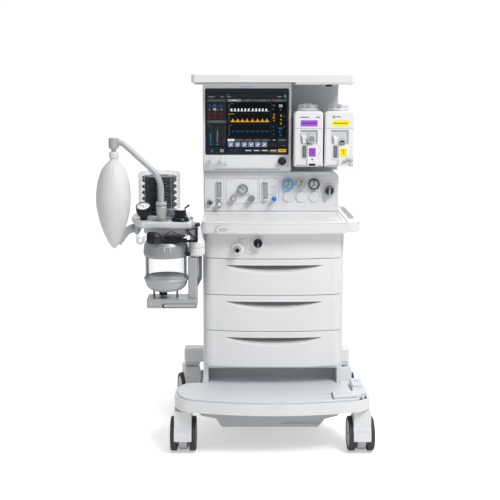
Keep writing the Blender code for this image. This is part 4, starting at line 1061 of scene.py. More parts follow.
def flow_tube(name, x0, x1, z0, z1, replaces):
    """A clear block with a bored tube, a float and a scale behind it."""
    mid = (x0 + x1) / 2
    block = loft("blk", rounded_rect(x0 + 2.2, x1 - 2.2, z0, z1, 3, 5), [(299.5, 0), (289.4, 0), (288.4, 0.4), (288.0, 1.4)], "Y")
    back = prism("bk", rounded_rect(x0 + 2.6, x1 - 2.6, z0 + 3, z1 - 3, 2, 4), 299.2, 299.62, "Y")
    bore = turned("bore", [(0, z0 + 6), (2.6, z0 + 6), (3.4, z1 - 6), (0, z1 - 6)], (mid, 293.4, 0), (0, 0, 1), 28)
    ball = turned("float", [(0, z0 + 9), (1.8, z0 + 9.8), (2.4, z0 + 12), (2.4, z0 + 13), (0, z0 + 15)], (mid, 293.4, 0), (0, 0, 1), 24)
    caps_ = [box("fc", x0 + 1.5, x1 - 1.5, 287.4, 299.6, z, z + 5.5, r=1.2, seg=3) for z in (z0 + 0.1, z1 - 5.6)]
    parts = [paint(block, "clear_tube"), paint(back, "tube_back"), paint(bore, "clear"), paint(ball, "steel")] + [paint(c, "panel_grey") for c in caps_]
    count = 13
    for i in range(count):
        z = z0 + 12 + (z1 - z0 - 24) * i / (count - 1)
        long_ = 3.4 if i % 3 == 0 else 2.0
        parts.append(paint(box("tk", x1 - 4.6 - long_, x1 - 4.6, 298.9, 299.25, z - 0.3, z + 0.3), "black"))
        parts.append(paint(box("tk", x0 + 4.6, x0 + 4.6 + long_ * 0.7, 298.9, 299.25, z - 0.3, z + 0.3), "black"))
    put(join(name, parts), "machine", None, replaces)


flow_tube("flowmeter_auxiliary", -208.5, -186, 899, 970, "auxiliary_flowmeter")
flow_tube("flowmeter_total", -30, -7, 893, 969, "total_flowmeter")


def gauge_face(at, r, depth, ring_mat, needle, sector=None, ticks=24, face="dial_white"):
    """A round gauge looking along -Y; needle in degrees clockwise from twelve."""
    x, y, z = at
    out = [paint(turned("bz", round_profile([(r * 0.79, 1.2), (r * 0.79, depth - 1.6), (r * 0.82, depth), (r * 0.97, depth), (r, depth - 1.4), (r, 0), (r * 0.79, 0)], 0.5, 2), at, (0, -1, 0), 80), ring_mat)]
    out.append(paint(turned("fc", [(0, depth - 5.6), (r * 0.82, depth - 5.6), (r * 0.82, 0.3), (0, 0.3)], at, (0, -1, 0), 64), face))
    fy = y - depth + 5.6
    if sector:
        pts = [(x + r * 0.50 * math.sin(RAD(a)), fy - 0.15, z + r * 0.50 * math.cos(RAD(a))) for a in range(sector[0], sector[1] + 1, 6)]
        out.append(paint(line3("sec", pts, r * 0.44, 0.25), "dial_green"))
    for i in range(ticks + 1):
        a = RAD(-135 + 270 * i / ticks)
        r0 = r * (0.62 if i % 4 == 0 else 0.68)
        p0 = (x + r0 * math.sin(a), fy - 0.1, z + r0 * math.cos(a))
        p1 = (x + r * 0.76 * math.sin(a), fy - 0.1, z + r * 0.76 * math.cos(a))
        out.append(paint(line3("tk", [p0, p1], 0.7 if i % 4 else 1.0, 0.2), "black"))
    a = RAD(needle)
    d = (math.sin(a), math.cos(a))
    out.append(paint(line3("nd", [(x - d[0] * r * 0.2, fy - 1.2, z - d[1] * r * 0.2), (x + d[0] * r * 0.3, fy - 1.2, z + d[1] * r * 0.3), (x + d[0] * r * 0.62, fy - 1.2, z + d[1] * r * 0.62)], 1.8, 0.5), "black"))
    out.append(paint(drum("hb", r * 0.12, 0, 2.2, (x, fy, z), (0, -1, 0), 0.5, 28), "black"))
    out.append(paint(turned("gl", [(0, depth - 1.4), (r * 0.5, depth - 1.5), (r * 0.81, depth - 2.2), (r * 0.81, depth - 2.8), (0, depth - 2.2)], at, (0, -1, 0), 56), "lens"))
    return out


put(join("suction_gauge_face", gauge_face((-106.2, 299.6, 937.3), 20.0, 13.0, "knob_grey", -48, face="panel_grey")), "machine", None, "suction_gauge")
faces = [paint(prism("strip", rounded_rect(60, 178, 943, 970, 6, 6), 297.0, 299.6, "Y", r=0.8, seg=2), "plate_white")]
faces += gauge_face((69.5, 299.6, 956.5), 21.6, 13.0, "ring_blue", -140, (-30, 30), face="panel_grey")
faces += gauge_face((118.8, 299.6, 956.5), 21.6, 13.0, "knob_light", -140, (-30, 30), face="panel_grey")
faces += gauge_face((168.6, 299.6, 956.5), 21.6, 13.0, "black", -140, (-30, 30), face="panel_grey")
put(join("gas_gauge_faces", faces), "machine", None, "gauge_cluster")


def panel_knob(name, x, z, r, length, mat, body, node, n=18, shaft=None, dot=None):
    parts = [grip_knob("k", (x, 299.6, z), r, 7.0 if shaft else 3.0, length, n, r * 0.07, min(2.4, r * 0.18), "Y", mat)]
    parts.append(paint(turned("sk", round_profile([(0, 7.5), (shaft or r * 0.8, 7.5), (shaft or r * 0.85, 0.4), (0, 0.4)], 0.6, 2), (x, 299.6, z), (0, -1, 0), 40), "satin_metal" if shaft else mat))
    parts.append(paint(turned("fc", [(0, length + 0.5), (r * 0.62, length + 0.5), (r * 0.68, length - 0.4), (0, length - 0.4)], (x, 299.6, z), (0, -1, 0), 40), dot or mat))
    put(join(name, parts), body, None, node)


panel_knob("suction_mode_grip", -142.6, 901.7, 12.0, 23.4, "knob_grey", "suction_mode_body", "suction_mode_knob", 16, dot="knob_light")
panel_knob("suction_regulator_grip", -72.0, 901.7, 12.5, 27.4, "knob_grey", "suction_regulator_body", "suction_regulator_knob", 20, dot="knob_grey")
panel_knob("auxiliary_flow_grip", -197.3, 880.2, 11.0, 25.4, "knob_grey", "auxiliary_flow_body", "auxiliary_flow_knob", 16, dot="plate_white")
panel_knob("total_flow_grip", 14.5, 901.7, 9.5, 33.4, "bright_blue", "total_flow_body", "total_flow_knob", 14, shaft=6.0, dot="bright_blue")

px, pz = 228.0, 932.0
pk = [paint(turned("pk", round_profile([(0, 17.4), (13.4, 17.4), (16.2, 14.6), (16.9, 0.3), (0, 0.3)], 1.4, 4), (px, 293.6, pz), (0, -1, 0), 72), "black")]
wing = prism("wing", [(px + a, pz + b) for a, b in ((-3.6, 14.6), (3.6, 14.6), (4.2, 0), (3.2, -15.2), (0, -17.0), (-3.2, -15.2), (-4.2, 0))], 271.2, 280.5, "Y", r=1.6, seg=4)
bake(wing)
pk.append(paint(wing, "chrome"))
pk.append(paint(ring("pk_ring", 13.9, 16.6, 11.6, 15.6, (px, 293.6, pz), (0, -1, 0), 0.5, 64), "chrome"))
pk.append(paint(box("pl", px - 0.8, px + 0.8, 270.8, 271.6, pz + 4, pz + 13, r=0.2, seg=2), "black"))
piece = join("power_switch_grip", pk)
put(piece, "power_switch_body", None, "power_switch_knob")

# -------------------------------------------------------- column and monitor
moulded("column_grey", (0.65, 0.67, 0.689), 0.5)
moulded("vap_white", (0.81, 0.815, 0.82), 0.34, coat=0.25)
moulded("ui_dark", (0.0045, 0.006, 0.0085), 0.3, grain=0.02, tone=0.1, spec=0.12)
glow("ui_grey", (0.072, 0.076, 0.082), 1.0)
glow("ui_panel", (0.016, 0.019, 0.023), 1.0)
glow("ui_line", (0.045, 0.055, 0.075), 1.0)
glow("ui_white", (0.80, 0.82, 0.84), 1.0)
glow("ui_dim", (0.20, 0.21, 0.23), 1.0)
glow("ui_blue", (0.025, 0.19, 0.38), 1.0)
glow("ui_red", (0.22, 0.008, 0.010), 1.0)
glow("ui_orange", (0.74, 0.37, 0.045), 1.0)
glow("ui_pill", (0.70, 0.39, 0.045), 1.0)
glow("ui_button", (0.19, 0.24, 0.34), 1.0)
glow("ui_green", (0.05, 0.50, 0.10), 1.0)
glow("lamp_blue", (0.10, 0.38, 0.80), 0.9)

col_pts = [(-258, 330.4), (78.6, 330.4), (78.6, 372), (81, 375), (262, 375), (266.5, 376.8), (268, 381), (268, 554), (266, 558.2), (262, 560), (-252, 560), (-256.2, 558.2), (-258, 554)]
column = loft("column_body", col_pts, eased(1004.5, 1337.7, 0.8, 0.8, 3))
rail = box("rail", 97, 257, 362.4, 378, 1120.4, 1149.6, r=1.6)
groove = [box("g", 92, 262, 360, 364.6, 1131, 1139), box("cs", -262, -257.0, 440, 441.4, 1006, 1336), box("cs", 267.0, 272, 440, 441.4, 1006, 1336), box("bs", -230, 240, 559, 562, 1040, 1041.4), box("bs", -230, 240, 559, 562, 1300, 1301.4)]
for i in range(14):
    groove.append(box("vent", -150 + i * 22, -138 + i * 22, 556, 564, 1180, 1270))
add(column, rail)
cut(column, join("colcuts", groove))
put(column, "machine", "column_grey", "column_housing")
bits = []
for x in (-222, 232):
    for z in (1052, 1290):
        bits.append(screw_head("rs", x, 560, z, 3.6))
bits.append(paint(box("sock", -205, -120, 559.6, 562.0, 1070, 1110, r=0.8, seg=2), "mid_grey"))
for i in range(3):
    bits.append(paint(box("usb", -198 + i * 26, -184 + i * 26, 561.6, 562.6, 1086, 1092), "black"))
bits.append(paint(ring("knock", 7, 9.5, 0, 2.2, (30, 560, 1092), (0, 1, 0), 0.4, 36), "steel"))
bits.append(paint(ring("knock", 7, 9.5, 0, 2.2, (62, 560, 1092), (0, 1, 0), 0.4, 36), "steel"))
bits.append(paint(box("lab", 100, 200, 559.6, 560.5, 1070, 1112, r=0.2, seg=2), "satin_metal"))
put(join("column_fittings", bits), "machine")
# the niche is lined by a lighter inner cheek on the monitor side
put(paint(box("niche_cheek", 78.7, 79.4, 334, 374.6, 1006, 1337), "light_grey"), "machine")

DX0, DX1, DY = -260.0, 78.0, 270.0
dprof = [(DY + 3, 1345.2), (DY, 1342.2), (DY, 1026), (DY + 0.6, 1022), (276, 1012.6), (283, 1007.8), (291, 1006), (329.9, 1006), (329.9, 1345.2)]
monitor = loft("monitor_body", dprof, [(DX0, 4.0), (DX0 + 0.7, 2.0), (DX0 + 2.0, 0.6), (DX0 + 4.0, 0.0), (DX1 - 4.0, 0.0), (DX1 - 2.0, 0.6), (DX1 - 0.7, 2.0), (DX1, 4.0)], "X")
cut(monitor, prism("seat", rounded_rect(-250.6, 68.4, 1072.0, 1324.4, 7, 6), DY - 5, DY + 4, "Y"),
    box("slot", -215, 35, DY - 5, DY + 14, 1015.6, 1017.4),
    box("sidegap", DX0 - 1, DX0 + 0.8, 300, 301, 1010, 1343), box("sidegap", DX1 - 0.8, DX1 + 1, 300, 301, 1010, 1343))
put(monitor, "machine", "white", "display_housing")
# a dark strip set inside the slot under the screen: painted shadow
put(paint(box("monitor_slot_shadow", -214, 34, DY + 2.5, DY + 9, 1015.9, 1017.1), "slot_painted_shadow"), "machine")
glass = loft("monitor_glass", rounded_rect(-249.8, 67.6, 1072.8, 1323.6, 6.5, 7), [(DY + 3.9, 0), (DY - 0.6, 0), (DY - 1.6, 0.5), (DY - 2.0, 1.6)], "Y")
put(glass, "machine", "bezel_navy", "display_screen")

UI = {}


def ui(mat, x0, y0, x1, y1, lift=0.30):
    """A lit rectangle in the picture's own 100-per-side coordinates (x right, y down)."""
    UI.setdefault(mat, []).append((x0, y0, x1, y1, lift))


LX0, LX1, LZ0, LZ1 = -244.6, 60.2, 1080.0, 1306.0


def uix(x):
    return LX0 + (x - 85) / 397.0 * (LX1 - LX0)


def uiz(y):
    return LZ1 - (y - 108) / 304.0 * (LZ1 - LZ0)


SEG = {"0": "abcdef", "1": "bc", "2": "abged", "3": "abgcd", "4": "fgbc", "5": "afgcd", "6": "afgedc", "7": "abc", "8": "abcdefg", "9": "abcdfg"}


def digits(mat, text, x, y, w, h, t=1.1, gap=2.2):
    """Plain segment numerals, centred on x, y."""
    total = len(text) * w + (len(text) - 1) * gap
    left = x - total / 2
    for ch in text:
        for s in SEG.get(ch, ""):
            xa, ya, xb, yb = {"a": (0, 0, w, t), "d": (0, h - t, w, h), "g": (0, h / 2 - t / 2, w, h / 2 + t / 2), "f": (0, 0, t, h / 2), "e": (0, h / 2, t, h), "b": (w - t, 0, w, h / 2), "c": (w - t, h / 2, w, h)}[s]
            ui(mat, left + xa, y - h / 2 + ya, left + xb, y - h / 2 + yb, 0.42)
        left += w + gap


ui("ui_dark", 85, 108, 482, 412, 0.12)
ui("ui_panel", 85, 110, 482, 134, 0.2)
for x0, x1 in ((93, 127), (154, 170), (186, 206), (434, 458)):
    ui("ui_dim", x0, 124, x1, 126.6)
    ui("ui_dim", x0 + 3, 129.4, x1 - 4, 131.0)
ui("ui_dim", 186, 116, 196, 117.6)
ui("ui_green", 470, 117, 476.5, 131)
ui("ui_grey", 88, 138, 182, 151)
ui("ui_dim", 126, 143, 143, 145.4)
for x0, x1, m in ((189, 256, "ui_dim"), (258.5, 316, "ui_grey"), (318.5, 404, "ui_grey"), (406.5, 481, "ui_grey")):
    ui(m, x0, 138, x1, 151)
    ui("ui_white" if m == "ui_dim" else "ui_dim", (x0 + x1) / 2 - 14, 143.4, (x0 + x1) / 2 + 12, 145.6, 0.4)
ui("ui_panel", 88, 153, 182, 241)
for y, mats, vals in ((172, ("ui_blue", "ui_blue", "ui_blue"), ("7", "28", "21")), (190, ("ui_dim", "ui_white", "ui_dim"), ("6", "45", "16")), (212, ("ui_red", "ui_red", "ui_red"), ("5", "42", "48")), (230, ("ui_red", "ui_red", "ui_red"), ("36", "12", "24"))):
    for x, m, v in zip((100, 125, 157), mats, vals):
        digits(m, v, x, y, 6.0, 11.5, 1.5)
    for x, m in zip((112, 139, 171), mats):
        ui(m, x, y + 2, x + 4.5, y + 4)
ui("ui_grey", 88, 244, 182, 260)
ui("ui_dim", 107, 251, 160, 253.2)
ui("ui_panel", 88, 262, 182, 378)
for x, m, top in ((104, "ui_blue", 300), (138, "ui_dim", 286), (168, "ui_red", 268)):
    ui("ui_line", x - 4, 280, x + 4, 358, 0.3)
    ui(m, x - 1.9, 344 if m == "ui_red" else top + 14, x + 1.9, 357, 0.36)
    for k in range(9):
        ui("ui_dim" if m != "ui_blue" else "ui_blue", x + 5.4, 282 + k * 9, x + 9.4 - (k % 2) * 2, 283.1 + k * 9, 0.36)
for x, v, m in ((105, "45", "ui_blue"), (137, "38", "ui_blue")):
    digits(m, v, x, 369, 5, 8, 1.3)
digits("ui_dim", "2", 100, 272, 4, 6, 1.0)
digits("ui_red", "3", 168, 368, 4, 6, 1.0)
ui("ui_panel", 88, 383, 182, 411)
ui("ui_blue", 106, 394, 118, 397)
ui("ui_blue", 109, 398, 115, 409)
ui("ui_blue", 104, 403, 120, 405.4)
ui("ui_white", 153, 394, 168, 396.6)
ui("ui_white", 153, 394, 155.6, 408)
ui("ui_white", 165.4, 394, 168, 408)
ui("ui_white", 157, 405, 164, 408)
# the wave area
ui("ui_panel", 189, 153, 481, 333, 0.2)
ui("ui_dark", 191, 155, 402, 209, 0.26)
ui("ui_dark", 191, 211, 402, 262, 0.26)
ui("ui_dark", 191, 264, 402, 331, 0.26)
ui("ui_dark", 405, 155, 480, 209, 0.26)
ui("ui_dark", 405, 211, 480, 269, 0.26)
ui("ui_dark", 405, 271, 480, 331, 0.26)
for y0, y1 in ((163, 200), (219, 255), (276, 322)):
    ui("ui_dim", 197, y0, 198, y1, 0.32)
    for k in range(4):
        yy = y0 + (y1 - y0) * k / 3
        ui("ui_dim", 193.6, yy, 197, yy + 1.0, 0.32)
ui("ui_dim", 204, 160, 216, 161.6)
ui("ui_orange", 194, 212.4, 222, 214.2)
ui("ui_blue", 196, 270, 212, 271.8)
ui("ui_line", 200, 253.4, 400, 254.2, 0.3)
ui("ui_line", 200, 199.4, 400, 200.2, 0.3)
ui("ui_line", 200, 300.4, 400, 301.0, 0.3)
humps = [204 + 17.0 * i for i in range(6)] + [309 + 16.6 * i for i in range(5)]
UI_POLY = []
for x in humps:
    UI_POLY.append(("ui_white", [(x, 198.4), (x + 0.8, 188.6), (x + 2.4, 186.0), (x + 6.8, 184.8), (x + 8.0, 187), (x + 8.8, 198.4)]))
UI_POLY.append(("ui_white", [(203, 199.2), (203, 198.2), (394, 198.2), (394, 199.2)]))
for x in (216, 240, 263, 286, 313, 338, 362, 385):
    UI_POLY.append(("ui_orange", [(x - 12, 253.4), (x - 11, 249.5), (x - 4.4, 246.5), (x - 1.8, 237.0), (x + 0.2, 236.6), (x + 3.0, 246.0), (x + 9.0, 249.8), (x + 10.2, 253.4)]))
    UI_POLY.append(("ui_blue", [(x - 2.2, 300.4), (x - 0.9, 308.6), (x + 0.3, 308.6), (x + 1.2, 300.4)]))
UI_POLY.append(("ui_orange", [(203, 254.2), (203, 252.8), (394, 252.8), (394, 254.2)]))
UI_POLY.append(("ui_blue", [(203, 301.0), (203, 300.1), (394, 300.1), (394, 301.0)]))
digits("ui_dim", "40", 417, 170, 4.4, 7.6, 1.1)
digits("ui_dim", "0", 414, 189, 4.4, 7.0, 1.1)
digits("ui_white", "35", 451, 172, 7.4, 12.0, 1.8)
digits("ui_dim", "0", 452, 191, 5.2, 9.0, 1.2)
for y, v in ((217, "18"), (231, "20"), (246, "12")):
    digits("ui_orange", v, 417, y, 4.6, 7.6, 1.2)
for y, v in ((222, "8"), (243, "4"), (262, "5")):
    digits("ui_orange", v, 453, y, 6.2, 10.4, 1.6)
for y, v in ((280, "6"), (297, "9"), (318, "14")):
    digits("ui_blue", v, 416, y, 4.4, 7.0, 1.1)
for y, v in ((287, "486"), (304, "51"), (320, "12")):
    digits("ui_blue", v, 450, y, 5.2, 9.4, 1.4)
for y in (236, 288):
    ui("ui_dim", 468, y - 14, 470, y - 6)
# tabs, icon buttons and the bottom row
ui("ui_white", 189, 341, 223, 352)
ui("ui_dim", 197, 345.4, 214, 347.4, 0.42)
for x0, x1 in ((226, 269), (272, 312), (315, 354), (357, 398)):
    ui("ui_grey", x0, 341, x1, 352)
    ui("ui_dim", x0 + 6, 345.6, x1 - 8, 347.4, 0.42)
ui("ui_panel", 401, 341, 436, 352)
ui("ui_white", 414, 345, 424, 347.6, 0.42)
ui("ui_grey", 439, 341, 481, 352)
ui("ui_dim", 448, 345.6, 474, 347.4, 0.42)
for x0 in (191, 225, 259, 292, 325, 358):
    ui("ui_button", x0, 356, x0 + 27, 382, 0.34)
    UI_POLY.append(("ui_white", [(x0 + 7, 376), (x0 + 12, 369), (x0 + 10, 362), (x0 + 17, 368), (x0 + 22, 361.6), (x0 + 20, 369), (x0 + 14.5, 372), (x0 + 10, 378)]))
ui("ui_panel", 390, 356, 436, 382)
ui("ui_panel", 438, 356, 481, 382)
ui("ui_line", 412, 358, 413.4, 380, 0.36)
ui("ui_dim", 462, 374, 474, 375.6, 0.36)
ui("ui_panel", 189, 388, 266, 411)
ui("ui_blue", 206, 398, 214, 405)
ui("ui_dim", 224, 393, 227, 406)
ui("ui_dim", 233, 394, 246, 395.4)
ui("ui_dim", 233, 402, 252, 403.4)
for x0, x1 in ((273, 311), (315, 351), (355, 393), (397, 436)):
    ui("ui_grey", x0, 393, x1, 407)
    ui("ui_white", x0 + 6, 398.6, x1 - 6, 401.6, 0.42)
ui("ui_pill", 440, 392.4, 480, 408.6, 0.34)
ui("ui_red", 449, 398.8, 471, 401.4, 0.42)
ui("ui_pill", 397, 406.6, 436, 408.0, 0.42)

flat = {}
for mat, rects in UI.items():
    for x0, y0, x1, y1, lift in rects:
        flat.setdefault(mat, []).append(([(uix(x0), uiz(y0)), (uix(x1), uiz(y0)), (uix(x1), uiz(y1)), (uix(x0), uiz(y1))], lift))
for mat, pts in UI_POLY:
    flat.setdefault(mat, []).append(([(uix(x), uiz(y)) for x, y in pts], 0.40))
for mat, shapes in flat.items():
    bm = bmesh.new()
    for pts, lift in shapes:
        y0 = DY - 2.0 - lift
        front = [bm.verts.new(W((x, y0, z))) for x, z in pts]
        back = [bm.verts.new(W((x, DY - 1.9, z))) for x, z in pts]
        bm.faces.new(front)
        bm.faces.new(list(reversed(back)))
        for i in range(len(pts)):
            j = (i + 1) % len(pts)
            bm.faces.new((front[i], front[j], back[j], back[i]))
    put(_keep(bm, "picture_" + mat), "machine", mat, weighted=False)

bits = [paint(prism("lamp", rounded_rect(-117, -68, 1329.6, 1332.0, 1.1, 4), DY - 0.5, DY + 2, "Y"), "lamp_blue")]
put(join("alarm_lamp", bits), "machine")
enc = grip_knob("encoder_rim", (43.2, DY, 1048.5), 15.2, 0.8, 17.0, 28, 0.6, 2.2, "Y", "navy")
encf = turned("encoder_face", round_profile([(0, 17.7), (8.0, 17.4), (12.4, 16.8), (12.4, 15.0), (0, 15.0)], 0.5, 2), (43.2, DY, 1048.5), (0, -1, 0), 48)
enct = line3("enc_mark", [(43.2 + 4, DY - 17.3, 1048.5 + 4), (43.2 + 8.4, DY - 17.1, 1048.5 + 8.4)], 1.2, 0.3)
put(join("encoder_grip", [enc, paint(encf, "black"), paint(enct, "mid_grey")]), "encoder_body", None, "encoder_knob")
put(paint(ring("encoder_seat", 15.4, 17.4, -1, 0.5, (43.2, DY, 1048.5), (0, -1, 0), 0.3, 56), "light_grey"), "machine")

# the hose clip under the monitor: a clear plate with two sprung hooks
clip = [paint(prism("cp", [(-252, 1036), (-246, 1029), (-226, 1027.5), (-205, 1033), (-186, 1031), (-168, 1035), (-160, 1040), (-162, 1045), (-180, 1042), (-205, 1046), (-228, 1041), (-248, 1045)], 263.0, 266.4, "Y", r=1.0, seg=3), "clear_tube")]
for hx in (-226, -186):
    hook = [(hx - 8, 266, 1046), (hx - 9, 258, 1054), (hx - 5, 252, 1063), (hx + 3, 252, 1066), (hx + 10, 255, 1060), (hx + 11, 258, 1053)]
    clip.append(paint(tube("hk", smooth_route(hook, 6, 4), 1.7, 4), "clear_tube"))
    clip.append(paint(turned("hb", round_profile([(0, 4), (4.2, 4), (5.0, 2), (5.0, 0), (0, 0)], 0.6, 2), (hx - 8, 268.2, 1046), (0, -1, 0), 28), "light_grey"))
clip.append(paint(tube("hw", smooth_route([(-250, 262, 1040), (-238, 254, 1034), (-206, 252, 1030), (-176, 255, 1034), (-163, 262, 1041)], 12, 5), 1.5, 4), "clear_tube"))
clip += [paint(box("cb", x - 4, x + 4, 266.0, 270.2, 1033, 1041, r=0.8, seg=2), "light_grey") for x in (-240, -172)]
put(join("hose_clip", clip), "machine")

# ----------------------------------------------------------------------- shelf
SH = (-296.5, 302.5, 150.0, 566.0, 1338.2, 1377.0)
sh_pts = rounded_rect(SH[0], SH[1], SH[2], SH[3], 16, 8)
shelf = loft("shelf_body", sh_pts, eased(SH[4], SH[5], 8.0, 6.0, 6))
cut(shelf, box("step", -330, 86, 120, 332, 1300, 1345.8), loft("tray", rounded_rect(SH[0] + 13, SH[1] - 13, SH[2] + 13, SH[3] - 13, 12, 6), [(SH[5] - 0.6, 0.6), (SH[5] + 5, 0)]),
    box("seam", SH[0] - 2, SH[1] + 2, SH[2] - 2, SH[2] + 0.8, 1345.8, 1346.8))
put(shelf, "machine", "warm_white", "top_shelf")
under = [paint(loft("lamp_body", rounded_rect(196, 220, 158, 182, 4, 4), eased(1330.7, 1338.4, 1.6, 0, 3)), "black"),
         paint(drum("lamp_eye", 5, 1330.0, 1331.2, (208, 170, 0), edge=0.3, steps=32), "lens")]
for x, y in ((-280, 170), (288, 170), (-280, 545), (288, 545), (120, 170)):
    under.append(screw_head("us", x, y, 1338.4 if x > 86 or y > 332 else 1346.0, 3.2, (0, 0, -1)))
put(join("shelf_underside", under), "machine")

# ------------------------------------------------------------------ vaporizers
moulded("purple_dark", (0.10, 0.015, 0.26), 0.4)
moulded("yellow_dark", (0.30, 0.22, 0.01), 0.4)
moulded("label_purple", (0.36, 0.10, 0.66), 0.32, tone=0.03, coat=0.3)
moulded("label_yellow", (0.93, 0.84, 0.02), 0.32, tone=0.02, coat=0.3)
VY0, VY1, VZ0, VZ1 = 210.0, 360.0, 1032.0, 1240.5


def corner_box(x0, x1, z0, z1, r_top, r_bot, n=7):
    pts = []
    for cx, cz, a0, r in ((x1 - r_top, z1 - r_top, 0, r_top), (x0 + r_top, z1 - r_top, 90, r_top), (x0 + r_bot, z0 + r_bot, 180, r_bot), (x1 - r_bot, z0 + r_bot, 270, r_bot)):
        pts += [(cx + r * math.cos(RAD(a0 + 90 * i / n)), cz + r * math.sin(RAD(a0 + 90 * i / n))) for i in range(n + 1)]
    return pts


def vaporizer(side, x0, x1, ink, ink_dark, w0, w1, s0, s1):
    """One vaporizer: body, window recess, raised filler block, labels and sight glass."""
    mid = (x0 + x1) / 2
    body = loft("vap", corner_box(x0, x1, VZ0, VZ1, 15, 5), [(VY1, 3), (VY1 - 3, 0)] + [(VY0 + 7 - 7 * math.sin(RAD(15 * i)), 7 - 7 * math.cos(RAD(15 * i))) for i in range(7)], "Y")
    r0, r1 = mid - 31.5, mid + 33.0
    cutters_ = [loft("bay", corner_box(r0, r1, 1117, 1170, 3, 3), [(VY0 + 6.8, 1.5), (VY0 + 5.0, 0.3), (VY0 + 0.6, 0.0), (VY0 - 1, -0.8), (VY0 - 6, -1.5)], "Y"),
                box("slot", x0 - 5, x1 + 5, 361, 380, 1118, 1152), box("line", x0 - 3, x1 + 3, VY0 - 3, VY0 + 1.0, 1175.4, 1176.8),
                box("line", x0 - 3, x0 + 0.9, VY0 - 3, VY1 + 3, 1175.4, 1176.8), box("line", x1 - 0.9, x1 + 3, VY0 - 3, VY1 + 3, 1175.4, 1176.8),
                prism("w", rounded_rect(s0, s1, 1065.5, 1112.3, 3, 4), VY0 - 8, VY0 + 4.5, "Y")]
    cut(body, *cutters_)
    parts = [paint(body, "vap_white")]
    parts.append(paint(box("seamfill", x0 + 1.2, x1 - 1.2, VY0 + 0.75, VY0 + 1.2, 1175.5, 1176.7), "grey_line"))
    parts.append(paint(prism("bayback", rounded_rect(r0 + 1.8, r1 - 1.8, 1118.8, 1168.2, 2, 4), VY0 + 6.5, VY0 + 7.0, "Y"), "light_grey"))
    # the raised filler block in front, with its sight glass and labels; the left one's dot and drain plate are added
    # after the call
    px0, px1 = s1 + 3.5, r1 - 1.0
    block = loft("block", corner_box(px0, px1, 1034.5, 1112.0, 5, 3), [(VY0 + 2, 0), (VY0 - 4.8, 0), (VY0 - 6.0, 0.5), (VY0 - 6.6, 1.8)], "Y")
    parts.append(paint(block, "plate_white"))
    frame_ = loft("sightframe", corner_box(s0 - 3.4, s1 + 3.0, 1060, 1116.5, 4, 4), [(VY0 + 2, 0), (VY0 - 2.2, 0), (VY0 - 3.2, 1.0)], "Y")
    cut(frame_, prism("wf", rounded_rect(s0, s1, 1065.5, 1112.3, 3, 4), VY0 - 8, VY0 + 8, "Y"))
    parts.append(paint(frame_, "plate_white"))
    parts.append(paint(box("sightback", s0, s1, VY0 + 3.6, VY0 + 4.2, 1065.6, 1112.2), "mid_grey"))
    sx = (s0 + s1) / 2
    parts.append(paint(turned("sight", [(0, 1067), (4.6, 1067), (4.6, 1111), (0, 1111)], (sx, VY0 - 0.5, 0), (0, 0, 1), 32), "clear_dark"))
    parts.append(paint(turned("fluid", [(0, 1067.4), (3.4, 1067.4), (3.4, 1083), (0, 1083)], (sx, VY0 - 0.5, 0), (0, 0, 1), 28), "knob_grey"))
    for i in range(5):
        parts.append(paint(box("st", s1 - 4.0, s1 - 1.0, VY0 + 3.0, VY0 + 3.7, 1071 + i * 8.6, 1071.8 + i * 8.6), "dial_white"))
    lx0, lx1 = w0 - 0.0, w1
    parts.append(paint(prism("label", rounded_rect(lx0, lx1, 1183.2, 1206.4, 3, 5), VY0 - 0.7, VY0 + 0.5, "Y", r=0.3, seg=2), ink))
    for i, (a, b) in enumerate(((0.10, 0.24), (0.27, 0.40), (0.43, 0.60), (0.63, 0.76), (0.79, 0.91))):
        parts.append(paint(box("lm", lx0 + (lx1 - lx0) * a, lx0 + (lx1 - lx0) * b, VY0 - 0.95, VY0 - 0.6, 1192.6, 1197.4, r=0.2, seg=2), ink_dark))
    sm0, sm1 = (px0 + px1) / 2 - 13.0, (px0 + px1) / 2 + 13.0
    parts.append(paint(prism("small", rounded_rect(sm0, sm1, 1070.6, 1103.6, 3, 5), VY0 - 7.3, VY0 - 6.3, "Y", r=0.3, seg=2), ink))
    parts.append(paint(box("sml", sm0 + 4, sm1 - 4, VY0 - 7.6, VY0 - 7.2, 1093, 1095.4), ink_dark))
    parts.append(paint(box("sml", sm0 + 7, sm1 - 7, VY0 - 7.6, VY0 - 7.2, 1080, 1082.2), ink_dark))
    parts.append(paint(prism("smt", [((sm0 + sm1) / 2 - 4, 1090), ((sm0 + sm1) / 2 + 4, 1090), ((sm0 + sm1) / 2, 1084)], VY0 - 7.6, VY0 - 7.2, "Y"), ink_dark))
    # small printed rules above the label
    for a, b, z in ((lx0 - 2, lx0 + 30, 1217.5), (lx1 - 6, lx1 + 8, 1217.5)) if side == "left" else ((lx0 + 0, lx0 + 10, 1221.5), (lx0 + 0, lx0 + 10, 1216.0), (lx0 + 14, lx0 + 30, 1219)):
        parts.append(paint(box("rule", a, b, VY0 - 0.25, VY0 + 0.3, z - 1.5, z + 1.5), "black"))
    # side bolts and the locking lever on top at the back
    for sx_, d in ((x0, (-1, 0, 0)), (x1, (1, 0, 0))):
        parts.append(screw_head("vb", sx_, 250, 1060, 3.4, d))
        parts.append(screw_head("vb", sx_, 330, 1060, 3.4, d))
        parts.append(screw_head("vb", sx_, 250, 1210, 3.4, d))
    parts.append(paint(box("lock", mid - 14, mid + 14, 318, 352, VZ1 - 1, VZ1 + 9, r=3, seg=4), "knob_grey"))
    return parts, mid, (r0, r1)


